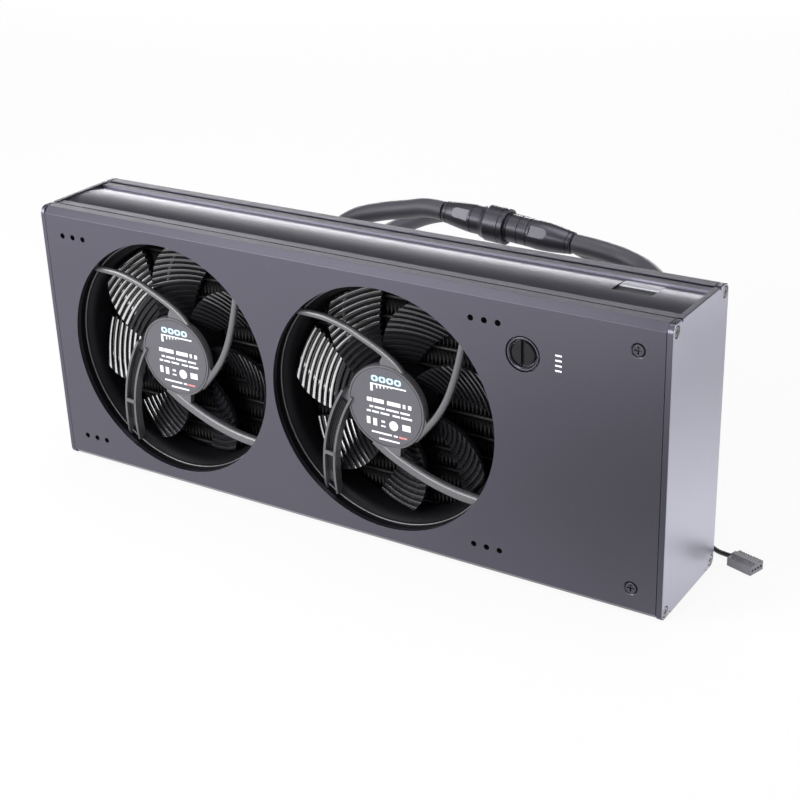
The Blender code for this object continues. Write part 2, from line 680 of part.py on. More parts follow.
def make_front_panel():
    """The front panel, with its two fan openings, twelve small holes, fill port and screw seats."""
    panel = raised(
        "front_panel",
        panel_section(-1),
        -PANEL_LENGTH / 2,
        PANEL_LENGTH / 2,
        ANODISED_DARK,
        axes=ALONG_X,
    )
    through = 2 * PANEL_WALL
    for number, x in enumerate(FAN_CENTRES_X):
        opening = cylinder(
            f"fan_opening_{number}",
            FAN_OPENING_RADIUS,
            -through,
            through,
            TOWARDS_BACK,
            (x, FRONT_Y, CENTRE_Z),
            sides=56,
        )
        boolean(panel, opening)
        outer_x = x + (-1, 1)[number] * FAN_HOLE_HALF_SPACING
        for z in (CENTRE_Z - FAN_HOLE_HALF_SPACING, CENTRE_Z + FAN_HOLE_HALF_SPACING):
            for step in (-1, 0, 1):
                hole = cylinder(
                    f"small_hole_{number}_{z:.3f}_{step}",
                    SMALL_HOLE_RADIUS,
                    -through,
                    through,
                    TOWARDS_BACK,
                    (outer_x + step * SMALL_HOLE_PITCH, FRONT_Y, z),
                    sides=8,
                )
                boolean(panel, hole)
    port = cylinder(
        "fill_opening",
        FILL_RING_RADIUS + FIT_GAP,
        -through,
        through,
        TOWARDS_BACK,
        (FILL_X, FRONT_Y, FILL_Z),
        sides=28,
    )
    boolean(panel, port)
    for side in (-1, 1):
        place = (PANEL_SCREW_X, FRONT_Y, CENTRE_Z + side * PANEL_SCREW_HALF_SPACING)
        shank = cylinder(
            f"panel_screw_hole_{side}",
            PANEL_SCREW_RADIUS + FIT_GAP,
            -through,
            through,
            TOWARDS_BACK,
            place,
            sides=8,
        )
        seat = cylinder(
            f"panel_screw_seat_{side}",
            PANEL_SCREW_HEAD_RADIUS + 3 * FIT_GAP,
            -FIT_GAP,
            PANEL_SCREW_HEAD_DEPTH + FIT_GAP,
            TOWARDS_BACK,
            place,
            sides=12,
            end_radius=PANEL_SCREW_RADIUS + FIT_GAP,
        )
        boolean(panel, shank)
        boolean(panel, seat)
    cut_corner_screw_bores(panel, -1)


def make_rear_panel():
    """The rear panel, open over the radiator, with holes for the two hose fittings and the lead."""
    panel = raised(
        "rear_panel",
        panel_section(1),
        -PANEL_LENGTH / 2,
        PANEL_LENGTH / 2,
        ANODISED_DARK,
        axes=ALONG_X,
    )
    centre_x = (RADIATOR_CORE_START_X + RADIATOR_CORE_END_X) / 2
    half_x = (RADIATOR_CORE_END_X - RADIATOR_CORE_START_X) / 2 - REAR_OPENING_MARGIN
    half_z = RADIATOR_HEIGHT / 2 - REAR_OPENING_MARGIN
    opening = raised(
        "radiator_opening",
        rounded_rectangle(half_x, half_z, REAR_OPENING_RADIUS),
        -2 * PANEL_WALL,
        2 * PANEL_WALL,
        location=(centre_x, BACK_Y, CENTRE_Z),
        axes=TOWARDS_BACK,
        collection=CUTTERS,
    )
    boolean(panel, opening)
    holes = (
        ("supply_hole", FITTING_NECK_RADIUS, SUPPLY_X, SUPPLY_Z),
        ("return_hole", FITTING_NECK_RADIUS, RETURN_X, RETURN_Z),
        ("lead_hole", GROMMET_NECK_RADIUS, GROMMET_X, GROMMET_Z),
    )
    for name, radius, x, z in holes:
        hole = cylinder(
            name,
            radius + FIT_GAP,
            -2 * PANEL_WALL,
            2 * PANEL_WALL,
            TOWARDS_BACK,
            (x, BACK_Y, z),
            sides=16,
        )
        boolean(panel, hole)
    cut_corner_screw_bores(panel, 1)


def cover_section(upward):
    """Section of the top or bottom cover: two flat rails, two channels and a low crown between."""
    steps = 10
    crown_rise = CROWN_EDGE_DROP - COVER_DROP
    outer = [(COVER_HALF_WIDTH, -COVER_DROP), (CHANNEL_HALF_WIDTH, -COVER_DROP)]
    channel_in = CROWN_HALF_WIDTH + (CHANNEL_HALF_WIDTH - CROWN_HALF_WIDTH) / 3
    channel_out = CHANNEL_HALF_WIDTH - (CHANNEL_HALF_WIDTH - CROWN_HALF_WIDTH) / 3
    side = [*outer, (channel_out, -CHANNEL_DROP), (channel_in, -CHANNEL_DROP)]
    crown = []
    for i in range(steps + 1):
        across = 1 - 2 * i / steps
        crown.append((CROWN_HALF_WIDTH * across, -CROWN_EDGE_DROP + crown_rise * (1 - across**2)))
    below = -LEDGE_DEPTH + FIT_GAP
    other = [(-y, z) for y, z in reversed(side)]
    points = [(COVER_HALF_WIDTH, below), *side, *crown, *other, (-COVER_HALF_WIDTH, below)]
    if upward:
        return [(y, CASE_HEIGHT + z) for y, z in points]
    return [(y, -z) for y, z in points]


def make_top_cover():
    """The top cover, with a pad below its window recess."""
    cover = raised(
        "top_cover",
        cover_section(True),
        -PANEL_LENGTH / 2,
        PANEL_LENGTH / 2,
        ANODISED_DARK,
        axes=ALONG_X,
    )
    pad_rim = 2 * WINDOW_LEDGE
    underside = CASE_HEIGHT - LEDGE_DEPTH + FIT_GAP
    pad = box(
        "window_pad",
        (WINDOW_START_X - pad_rim, WINDOW_START_Y - pad_rim, CASE_HEIGHT - WINDOW_PAD),
        (WINDOW_END_X + pad_rim, WINDOW_END_Y + pad_rim, underside + UNION_OVERLAP),
        collection=CUTTERS,
    )
    boolean(cover, pad, "UNION")
    floor_z = CASE_HEIGHT - WINDOW_DEPTH - WINDOW_THICKNESS - FIT_GAP
    pocket = box(
        "window_pocket",
        (WINDOW_START_X - FIT_GAP, WINDOW_START_Y - FIT_GAP, floor_z),
        (WINDOW_END_X + FIT_GAP, WINDOW_END_Y + FIT_GAP, CASE_HEIGHT + PANEL_WALL),
        collection=CUTTERS,
    )
    light_well = box(
        "window_well",
        (WINDOW_START_X + WINDOW_LEDGE, WINDOW_START_Y + WINDOW_LEDGE, RESERVOIR_TOP_Z),
        (WINDOW_END_X - WINDOW_LEDGE, WINDOW_END_Y - WINDOW_LEDGE, CASE_HEIGHT),
        collection=CUTTERS,
    )
    boolean(cover, pocket)
    boolean(cover, light_well)
    box(
        "level_window",
        (WINDOW_START_X, WINDOW_START_Y, floor_z + FIT_GAP),
        (WINDOW_END_X, WINDOW_END_Y, floor_z + FIT_GAP + WINDOW_THICKNESS),
        GLOSS_BLACK,
    )


def make_bottom_cover():
    """The bottom cover, the same section as the top one."""
    raised(
        "bottom_cover",
        cover_section(False),
        -PANEL_LENGTH / 2,
        PANEL_LENGTH / 2,
        ANODISED_DARK,
        axes=ALONG_X,
    )


def plate_outline():
    """Outline of an end plate: round corners about the screws and a notch at each cover gap."""
    half_y, half_z = CASE_DEPTH / 2, CASE_HEIGHT / 2
    notch_y = half_y - LAND_WIDTH - COVER_GAP / 2
    notch = [
        (notch_y + NOTCH_WIDTH / 2, half_z),
        (notch_y + NOTCH_WIDTH / 2, half_z - NOTCH_DEPTH),
        (notch_y - NOTCH_WIDTH / 2, half_z - NOTCH_DEPTH),
        (notch_y - NOTCH_WIDTH / 2, half_z),
    ]
    centre = (half_y - CORNER_BOSS_RADIUS, half_z - CORNER_BOSS_RADIUS)
    quarter = arc(centre, CORNER_BOSS_RADIUS, 0, 90, 4) + notch
    left = [(-y, z) for y, z in reversed(quarter)]
    top = quarter + left
    bottom = [(-y, -z) for y, z in top]
    return [(y, z + CENTRE_Z) for y, z in top + bottom]


def make_end_plates():
    """Both end plates, each with four screws into the panels' rails."""
    for name, end in (("left", -1), ("right", 1)):
        outer = end * CASE_LENGTH / 2
        inner = outer - end * PLATE_THICKNESS
        plate = raised(
            f"end_plate_{name}",
            plate_outline(),
            min(outer, inner),
            max(outer, inner),
            ANODISED_LIGHT,
            axes=ALONG_X,
        )
        number = 0
        for y_side in (-1, 1):
            for z in (SCREW_INSET, CASE_HEIGHT - SCREW_INSET):
                number += 1
                place = (outer, y_side * (CASE_DEPTH / 2 - SCREW_INSET), z)
                hole = cylinder(
                    f"{plate.name}_hole_{number}",
                    CORNER_SCREW_RADIUS + FIT_GAP,
                    -2 * PLATE_THICKNESS,
                    2 * PLATE_THICKNESS,
                    ALONG_X,
                    place,
                    sides=8,
                )
                seat = cylinder(
                    f"{plate.name}_seat_{number}",
                    CORNER_SCREW_HEAD_RADIUS + FIT_GAP,
                    -CORNER_SCREW_HEAD_HEIGHT - FIT_GAP,
                    CORNER_SCREW_HEAD_HEIGHT + FIT_GAP,
                    ALONG_X,
                    place,
                    sides=12,
                )
                boolean(plate, hole)
                boolean(plate, seat)
                make_corner_screw(f"{name}_plate_screw_{number}", place, end)


def make_corner_screw(name, place, end):
    """A flat-headed screw, its head flush with the plate's outer face."""
    length = PLATE_THICKNESS + CORNER_SCREW_LENGTH - FIT_GAP
    profile = [
        (0, 0),
        (CORNER_SCREW_HEAD_RADIUS, 0),
        (CORNER_SCREW_HEAD_RADIUS, -CORNER_SCREW_HEAD_HEIGHT),
        (CORNER_SCREW_RADIUS, -CORNER_SCREW_HEAD_HEIGHT),
        (CORNER_SCREW_RADIUS, -length),
        (0, -length),
    ]
    axes = Matrix(((0, 0, end), (1, 0, 0), (0, end, 0)))
    turned(name, profile, SCREW_STEEL, place, axes, steps=10, closed=False)


def make_panel_screws():
    """Two countersunk screws that hold the inner bracket to the front panel."""
    profile = [
        (0, 0),
        (PANEL_SCREW_HEAD_RADIUS, 0),
        (PANEL_SCREW_RADIUS, -PANEL_SCREW_HEAD_DEPTH),
        (PANEL_SCREW_RADIUS, -PANEL_SCREW_LENGTH),
        (0, -PANEL_SCREW_LENGTH),
    ]
    for name, side in (("bottom", -1), ("top", 1)):
        place = (PANEL_SCREW_X, FRONT_Y, CENTRE_Z + side * PANEL_SCREW_HALF_SPACING)
        turned(f"panel_screw_{name}", profile, BLACK_SCREW, place, TOWARDS_FRONT, 12, False)


# Fans: each is drawn about its own axis, with heights measured back from its front plane


def bent_line(first_angle, first_radius, last_angle, last_radius, bend, steps=6):
    """Points on an arc of the given bend between two places about a fan's axis."""
    first, last = (
        Vector((math.cos(math.radians(angle)), math.sin(math.radians(angle)))) * radius
        for angle, radius in ((first_angle, first_radius), (last_angle, last_radius))
    )
    chord = last - first
    inward = Vector((-chord.y, chord.x)).normalized()
    centre = (first + last) / 2 + inward * math.sqrt(bend**2 - (chord.length / 2) ** 2)
    start = math.degrees(math.atan2(first.y - centre.y, first.x - centre.x))
    end = math.degrees(math.atan2(last.y - centre.y, last.x - centre.x))
    return [Vector(point) for point in arc(centre, bend, start, start + (end - start) % 360, steps)]


def swept(name, line, section, finish=None, location=(0, 0, 0), axes=UPRIGHT, collection=PIECES):
    """A section of (across, height) points carried along a flat line, with closed ends."""
    shape = bmesh.new()
    rings = []
    for i, point in enumerate(line):
        along = line[min(i + 1, len(line) - 1)] - line[max(i - 1, 0)]
        across = Vector((-along.y, along.x)).normalized()
        rings.append([
            shape.verts.new((*(point + across * reach), height)) for reach, height in section
        ])
    for ring, following in zip(rings, rings[1:]):
        for k in range(len(section)):
            after = (k + 1) % len(section)
            shape.faces.new((ring[k], ring[after], following[after], following[k]))
    shape.faces.new(rings[0])
    shape.faces.new(rings[-1])
    return link(name, finish_mesh(name, shape), finish, location, axes, collection)


def make_fan_frame(name, place):
    """The fan's housing: two square flanges, the duct, the motor cup and the curved struts."""
    half = FAN_SIZE / 2
    duct = [
        (0, 0),
        (DUCT_OUTER_RADIUS, 0),
        (DUCT_OUTER_RADIUS, -FAN_DEPTH),
        (0, -FAN_DEPTH),
    ]
    frame = turned(name, duct, FAN_PLASTIC, place, TOWARDS_FRONT, 40, False)
    square = rounded_rectangle(half, half, FAN_CORNER_RADIUS, 2)
    for label, start in (("front", -FAN_FLANGE), ("back", -FAN_DEPTH)):
        flange = raised(
            f"{name}_{label}_flange",
            square,
            start,
            start + FAN_FLANGE,
            location=place,
            axes=TOWARDS_FRONT,
            collection=CUTTERS,
        )
        boolean(frame, flange, "UNION")
    beyond = 2 * FAN_FLANGE
    bore = [
        (0, beyond),
        (MOUTH_RADIUS, beyond),
        (MOUTH_RADIUS, -MOUTH_DEPTH),
        (FLARE_RADIUS, -MOUTH_DEPTH),
        (DUCT_RADIUS + FLARE_WIDTH / 3, -(MOUTH_DEPTH + FLARE_DEPTH) / 2),
        (DUCT_RADIUS, -FLARE_DEPTH),
        (DUCT_RADIUS, -FAN_DEPTH + FLARE_DEPTH / 3),
        (FLARE_RADIUS, -FAN_DEPTH),
        (FLARE_RADIUS, -FAN_DEPTH - beyond),
        (0, -FAN_DEPTH - beyond),
    ]
    boolean(frame, turned(f"{name}_bore", bore, None, place, TOWARDS_FRONT, 40, False, CUTTERS))
    for side_x in (-1, 1):
        for side_y in (-1, 1):
            hole = cylinder(
                f"{name}_hole_{side_x}_{side_y}",
                FAN_SCREW_HOLE_RADIUS,
                -FAN_DEPTH - beyond,
                beyond,
                TOWARDS_FRONT,
                Vector(place)
                + Vector((side_x * FAN_HOLE_HALF_SPACING, 0, side_y * FAN_HOLE_HALF_SPACING)),
                sides=8,
            )
            boolean(frame, hole)
    add_struts(frame, name, place)
    add_motor_cup(frame, name, place)
    return frame


def add_struts(frame, name, place):
    """Three curved struts and the trough for the lead, from the motor cup to the duct."""
    root, tip = CUP_RADIUS - STRUT_WIDTH / 2, STRUT_TIP_RADIUS
    half = STRUT_WIDTH / 2
    section = [
        (half, -STRUT_BACK),
        (half, -STRUT_FRONT - STRUT_EDGE),
        (half - STRUT_EDGE, -STRUT_FRONT),
        (STRUT_EDGE - half, -STRUT_FRONT),
        (-half, -STRUT_FRONT - STRUT_EDGE),
        (-half, -STRUT_BACK),
    ]
    for number, (first, last, bend) in enumerate(STRUTS):
        line = bent_line(first, root, last, tip, bend)
        strut = swept(f"{name}_strut_{number}", line, section, None, place, TOWARDS_FRONT, CUTTERS)
        boolean(frame, strut, "UNION")
    half = TROUGH_WIDTH / 2
    inner = half - TROUGH_WALL
    floor = -STRUT_BACK + TROUGH_FLOOR
    trough = [
        (half, -STRUT_BACK),
        (half, -STRUT_FRONT),
        (inner, -STRUT_FRONT),
        (inner, floor),
        (-inner, floor),
        (-inner, -STRUT_FRONT),
        (-half, -STRUT_FRONT),
        (-half, -STRUT_BACK),
    ]
    first, last, bend = TROUGH
    line = bent_line(first, root, last, tip, bend)
    strut = swept(f"{name}_trough", line, trough, None, place, TOWARDS_FRONT, CUTTERS)
    boolean(frame, strut, "UNION")
    clip_steps = 24
    fine = bent_line(first, root, last, tip, bend, clip_steps)
    middle = round(CLIP_PLACE * clip_steps)
    centre = fine[middle]
    along = (fine[middle + 1] - fine[middle - 1]).normalized() * CLIP_LENGTH / 2
    bar = [
        (half - TROUGH_WALL / 2, -STRUT_FRONT - CLIP_THICKNESS),
        (half - TROUGH_WALL / 2, -STRUT_FRONT + FIT_GAP),
        (TROUGH_WALL / 2 - half, -STRUT_FRONT + FIT_GAP),
        (TROUGH_WALL / 2 - half, -STRUT_FRONT - CLIP_THICKNESS),
    ]
    clip = swept(
        f"{name}_clip", [centre - along, centre + along], bar, None, place, TOWARDS_FRONT, CUTTERS
    )
    boolean(frame, clip, "UNION")


def add_motor_cup(frame, name, place):
    """The cup in the middle of the fan, with the tube that holds the bearing."""
    floor = -CUP_FACE - CUP_WALL
    tube_end = floor - BEARING_TUBE_LENGTH
    profile = [
        (0, -CUP_FACE),
        (CUP_RADIUS, -CUP_FACE),
        (CUP_RADIUS, -CUP_DEPTH),
        (CUP_RADIUS - CUP_WALL, -CUP_DEPTH),
        (CUP_RADIUS - CUP_WALL, floor),
        (BEARING_TUBE_RADIUS, floor),
        (BEARING_TUBE_RADIUS, tube_end),
        (BEARING_TUBE_BORE, tube_end),
        (BEARING_TUBE_BORE, floor),
        (0, floor),
    ]
    cup = turned(f"{name}_cup", profile, None, place, TOWARDS_FRONT, 24, False, CUTTERS)
    boolean(frame, cup, "UNION")


def make_fan_lead(name, place):
    """The fan's flat lead, four wires side by side, lying in the trough."""
    first, last, bend = TROUGH
    root = CUP_RADIUS - STRUT_WIDTH / 2
    line = bent_line(first, root, last, STRUT_TIP_RADIUS, bend, 24)
    low = CUP_RADIUS + FAN_LEAD_END_MARGIN
    high = DUCT_RADIUS - FAN_LEAD_END_MARGIN
    kept = [p for p in line if low < p.length < high][::3]
    floor = -STRUT_BACK + TROUGH_FLOOR + FIT_GAP
    wire = FAN_LEAD_WIDTH / FAN_LEAD_WIRES
    section = [(-FAN_LEAD_WIDTH / 2, floor)]
    for i in range(FAN_LEAD_WIRES):
        left = -FAN_LEAD_WIDTH / 2 + i * wire
        section += [
            (left + wire * 0.25, floor + FAN_LEAD_THICKNESS),
            (left + wire * 0.75, floor + FAN_LEAD_THICKNESS),
            (left + wire, floor + FAN_LEAD_THICKNESS / 2),
        ]
    section[-1] = (FAN_LEAD_WIDTH / 2, floor)
    swept(f"{name}_lead", kept, section, CABLE_BLACK, place, TOWARDS_FRONT)


def blade_grid(number, turn):
    """Front and back points of one ridged, twisted blade, from its root to its tip."""
    root = ROTOR_HUB_RADIUS - ROTOR_WALL / 2
    tip = DUCT_RADIUS - BLADE_TIP_CLEARANCE
    front = -ROTOR_FRONT - BLADE_FRONT_MARGIN
    back = -ROTOR_BACK + BLADE_BACK_MARGIN
    rings = 2 * BLADE_RIB_COUNT + 1
    grid = []
    for i in range(rings):
        out = i / (rings - 1)
        radius = root + (tip - root) * out
        ridge = BLADE_RIB_HEIGHT if i % 2 else 0.0
        trim = BLADE_TIP_ROUNDING * out**8
        row = []
        for j in range(BLADE_CHORD_STEPS + 1):
            along = trim + (1 - 2 * trim) * j / BLADE_CHORD_STEPS
            angle = math.radians(
                turn + 360 * number / BLADE_COUNT - BLADE_SWEEP * out**1.5 - BLADE_SPAN * along
            )
            middle = front + (back - front) * along
            x, y = radius * math.cos(angle), radius * math.sin(angle)
            row.append((
                (x, y, middle + BLADE_THICKNESS / 2 + ridge),
                (x, y, middle - BLADE_THICKNESS / 2),
            ))
        grid.append(row)
    return grid


def make_blade(name, number, turn, place):
    """One blade as a closed solid, its root buried in the hub's wall."""
    shape = bmesh.new()
    grid = [
        [(shape.verts.new(front), shape.verts.new(back)) for front, back in row]
        for row in blade_grid(number, turn)
    ]
    last_row, last_column = len(grid) - 1, len(grid[0]) - 1
    for i in range(last_row):
        for j in range(last_column):
            corners = (grid[i][j], grid[i + 1][j], grid[i + 1][j + 1], grid[i][j + 1])
            shape.faces.new([corner[0] for corner in corners])
            shape.faces.new([corner[1] for corner in reversed(corners)])
    rim = [(i, 0) for i in range(last_row)]
    rim += [(last_row, j) for j in range(last_column)]
    rim += [(i, last_column) for i in range(last_row, 0, -1)]
    rim += [(0, j) for j in range(last_column, 0, -1)]
    for (i, j), (k, m) in zip(rim, rim[1:] + rim[:1]):
        shape.faces.new((grid[i][j][0], grid[i][j][1], grid[k][m][1], grid[k][m][0]))
    return link(name, finish_mesh(name, shape), None, place, TOWARDS_FRONT, CUTTERS)


def make_rotor(name, place, turn):
    """The fan's rotor: a cup-shaped hub with a boss for the shaft and seven ridged blades."""
    floor = -ROTOR_BACK + ROTOR_WALL
    edge = ROTOR_WALL / 2
    boss_end = floor + ROTOR_BOSS_LENGTH
    bore = SHAFT_RADIUS + FIT_GAP
    profile = [
        (0, floor),
        (bore, floor),
        (bore, boss_end),
        (ROTOR_BOSS_RADIUS, boss_end),
        (ROTOR_BOSS_RADIUS, floor),
        (ROTOR_HUB_RADIUS - ROTOR_WALL, floor),
        (ROTOR_HUB_RADIUS - ROTOR_WALL, -ROTOR_FRONT),
        (ROTOR_HUB_RADIUS, -ROTOR_FRONT),
        (ROTOR_HUB_RADIUS, -ROTOR_BACK + edge),
        (ROTOR_HUB_RADIUS - edge, -ROTOR_BACK),
        (0, -ROTOR_BACK),
    ]
    rotor = turned(f"{name}_rotor", profile, ROTOR_PLASTIC, place, TOWARDS_FRONT, 20, False)
    for number in range(BLADE_COUNT):
        blade = make_blade(f"{name}_blade_{number}", number, turn, place)
        boolean(rotor, blade, "UNION")


def make_fan_motor(name, place):
    """What turns the rotor: shaft, bearing, wound stator and the ring magnet inside the hub."""
    floor = -CUP_FACE - CUP_WALL
    rotor_floor = -ROTOR_BACK + ROTOR_WALL
    shaft = [
        (0, floor - FIT_GAP),
        (SHAFT_RADIUS, floor - FIT_GAP),
        (SHAFT_RADIUS, rotor_floor + FIT_GAP),
        (0, rotor_floor + FIT_GAP),
    ]
    turned(f"{name}_shaft", shaft, SHAFT_STEEL, place, TOWARDS_FRONT, 10, False)
    bearing_top = floor - FIT_GAP
    bearing = [
        (SHAFT_RADIUS + FIT_GAP, bearing_top),
        (BEARING_TUBE_BORE - FIT_GAP, bearing_top),
        (BEARING_TUBE_BORE - FIT_GAP, bearing_top - BEARING_LENGTH),
        (SHAFT_RADIUS + FIT_GAP, bearing_top - BEARING_LENGTH),
    ]
    turned(f"{name}_bearing", bearing, BRASS, place, TOWARDS_FRONT, 10)
    magnet_outer = ROTOR_HUB_RADIUS - ROTOR_WALL - FIT_GAP
    magnet_end = rotor_floor + FIT_GAP
    magnet = [
        (magnet_outer - MAGNET_THICKNESS, magnet_end + MAGNET_LENGTH),
        (magnet_outer, magnet_end + MAGNET_LENGTH),
        (magnet_outer, magnet_end),
        (magnet_outer - MAGNET_THICKNESS, magnet_end),
    ]
    turned(f"{name}_magnet", magnet, MAGNET_BLACK, place, TOWARDS_FRONT, 18)
    make_stator(name, place)


def make_stator(name, place):
    """The stator: six poles with broad shoes about the bearing tube."""
    top = -ROTOR_FRONT - STATOR_DROP
    outline = []
    pitch = 360 / STATOR_POLES
    for pole in range(STATOR_POLES):
        middle = pole * pitch
        outline += arc((0, 0), STATOR_CORE_RADIUS, middle - pitch * 0.46, middle - pitch * 0.22, 1)
        outline += arc((0, 0), STATOR_RADIUS * 0.85, middle - pitch * 0.14, middle - pitch * 0.42, 1)
        outline += arc((0, 0), STATOR_RADIUS, middle - pitch * 0.42, middle + pitch * 0.42, 2)
        outline += arc((0, 0), STATOR_RADIUS * 0.85, middle + pitch * 0.42, middle + pitch * 0.14, 1)
        outline += arc((0, 0), STATOR_CORE_RADIUS, middle + pitch * 0.22, middle + pitch * 0.46, 1)
    stator = raised(
        f"{name}_stator",
        outline,
        top - STATOR_DEPTH,
        top,
        COPPER,
        place,
        TOWARDS_FRONT,
    )
    bore = cylinder(
        f"{name}_stator_bore",
        BEARING_TUBE_RADIUS + FIT_GAP,
        top - 2 * STATOR_DEPTH,
        top + STATOR_DEPTH,
        TOWARDS_FRONT,
        place,
        sides=12,
    )
    boolean(stator, bore)


def make_fan(name, x, turn):
    """One complete fan, drawn about its axis with heights measured from its front plane."""
    place = (x, FAN_FRONT_Y, CENTRE_Z)
    make_fan_frame(f"{name}_frame", place)
    label_back = -CUP_FACE + FIT_GAP
    label = [
        (0, label_back + LABEL_THICKNESS),
        (LABEL_RADIUS, label_back + LABEL_THICKNESS),
        (LABEL_RADIUS, label_back),
        (0, label_back),
    ]
    turned(f"{name}_label", label, LABEL_FOIL, place, TOWARDS_FRONT, 24, False)
    make_rotor(name, place, turn)
    make_fan_motor(name, place)
    make_fan_lead(name, place)


# Radiator


def make_radiator():
    """The radiator: a finned core with twelve flat tubes, a tank at each end and a rear gasket."""
    half = RADIATOR_THICKNESS / 2
    pitch = RADIATOR_HEIGHT / TUBE_COUNT
    front = [(-half + TUBE_PROUD, 0)]
    for i in range(TUBE_COUNT):
        tube_low = i * pitch + (pitch - TUBE_HEIGHT) / 2
        front += [
            (-half + TUBE_PROUD, tube_low),
            (-half, tube_low),
            (-half, tube_low + TUBE_HEIGHT),
            (-half + TUBE_PROUD, tube_low + TUBE_HEIGHT),
        ]
    front.append((-half + TUBE_PROUD, RADIATOR_HEIGHT))
    outline = front + [(-y, z) for y, z in reversed(front)]
    middle_y = (RADIATOR_FRONT_Y + RADIATOR_BACK_Y) / 2
    raised(
        "radiator_core",
        outline,
        RADIATOR_CORE_START_X,
        RADIATOR_CORE_END_X,
        RADIATOR_BLACK,
        (0, middle_y, RADIATOR_BOTTOM_Z),
        ALONG_X,
    )
    make_tank("left", RADIATOR_CORE_START_X - FIT_GAP, -1, LEFT_TANK_LENGTH)
    right = make_tank("right", RADIATOR_CORE_END_X + FIT_GAP, 1, RIGHT_TANK_LENGTH)
    port = cylinder(
        "return_port",
        FITTING_NECK_RADIUS + FIT_GAP,
        FITTING_INNER_END_Y - FIT_GAP,
        RADIATOR_BACK_Y + PANEL_WALL,
        TOWARDS_BACK,
        (RETURN_X, 0, RETURN_Z),
        sides=16,
    )
    boolean(right, port)
    make_gasket()


def make_tank(side, start, direction, length):
    """An end tank of the radiator, its outer upright edges rounded."""
    end = start + direction * length
    radius = RADIATOR_TANK_RADIUS
    inner = end - direction * radius
    low, high = RADIATOR_FRONT_Y, RADIATOR_BACK_Y
    if direction > 0:
        corner = arc((inner, low + radius), radius, -90, 0, 4)
        corner += arc((inner, high - radius), radius, 0, 90, 4)
    else:
        corner = arc((inner, low + radius), radius, 270, 180, 4)
        corner += arc((inner, high - radius), radius, 180, 90, 4)
    outline = [(start, low), *corner, (start, high)]
    return raised(
        f"radiator_tank_{side}",
        outline,
        RADIATOR_BOTTOM_Z,
        RADIATOR_BOTTOM_Z + RADIATOR_HEIGHT,
        RADIATOR_BLACK,
    )


def make_gasket():
    """A foam frame between the radiator's back and the rear panel, about the panel's opening."""
    centre_x = (RADIATOR_CORE_START_X + RADIATOR_CORE_END_X) / 2
    half_x = (RADIATOR_CORE_END_X - RADIATOR_CORE_START_X) / 2 - REAR_OPENING_MARGIN
    half_z = RADIATOR_HEIGHT / 2 - REAR_OPENING_MARGIN
    place = (centre_x, 0, CENTRE_Z)
    start, end = RADIATOR_BACK_Y + FIT_GAP, REAR_INNER_Y - FIT_GAP
    outer = rounded_rectangle(half_x + GASKET_WIDTH, half_z + GASKET_WIDTH, REAR_OPENING_RADIUS)
    inner = rounded_rectangle(half_x, half_z, REAR_OPENING_RADIUS)
    gasket = raised("radiator_gasket", outer, start, end, FOAM, place, TOWARDS_BACK)
    opening = raised(
        "gasket_opening",
        inner,
        start - PANEL_WALL,
        end + PANEL_WALL,
        location=place,
        axes=TOWARDS_BACK,
        collection=CUTTERS,
    )
    boolean(gasket, opening)


# Reservoir and fill port


def reservoir_plan(inset):
    """Plan of the reservoir: shallow beside the fan and deep past the radiator's tank."""
    return [
        (RESERVOIR_START_X + inset, RESERVOIR_FRONT_Y + inset),
        (RESERVOIR_END_X - inset, RESERVOIR_FRONT_Y + inset),
        (RESERVOIR_END_X - inset, RESERVOIR_BACK_Y - inset),
        (RESERVOIR_STEP_X + inset, RESERVOIR_BACK_Y - inset),
        (RESERVOIR_STEP_X + inset, RADIATOR_FRONT_Y - FIT_GAP - inset),
        (RESERVOIR_START_X + inset, RADIATOR_FRONT_Y - FIT_GAP - inset),
    ]


def make_reservoir():
    """The hollow reservoir, with a threaded boss for the fill plug and an outlet underneath."""
    reservoir = raised(
        "reservoir", reservoir_plan(0), RESERVOIR_BOTTOM_Z, RESERVOIR_TOP_Z, CLEAR_PLASTIC
    )
    boss = cylinder(
        "fill_boss",
        FILL_BOSS_RADIUS,
        FAN_FRONT_Y,
        RESERVOIR_FRONT_Y + RESERVOIR_WALL / 2,
        TOWARDS_BACK,
        (FILL_X, 0, FILL_Z),
        sides=20,
    )
    cavity = raised(
        "reservoir_cavity",
        reservoir_plan(RESERVOIR_WALL),
        RESERVOIR_BOTTOM_Z + RESERVOIR_WALL,
        RESERVOIR_TOP_Z - RESERVOIR_WALL,
        collection=CUTTERS,
    )
    fill_bore = cylinder(
        "fill_bore",
        FILL_PLUG_SHANK_RADIUS + FIT_GAP,
        FAN_FRONT_Y - PANEL_WALL,
        RESERVOIR_FRONT_Y + 2 * RESERVOIR_WALL,
        TOWARDS_BACK,
        (FILL_X, 0, FILL_Z),
        sides=16,
    )
    outlet = cylinder(
        "reservoir_outlet",
        VOLUTE_INLET_RADIUS,
        RESERVOIR_BOTTOM_Z - RESERVOIR_WALL,
        RESERVOIR_BOTTOM_Z + 2 * RESERVOIR_WALL,
        UPRIGHT,
        (PUMP_X, PUMP_Y, 0),
        sides=16,
    )
    boolean(reservoir, boss, "UNION")
    boolean(reservoir, cavity)
    boolean(reservoir, fill_bore)
    boolean(reservoir, outlet)


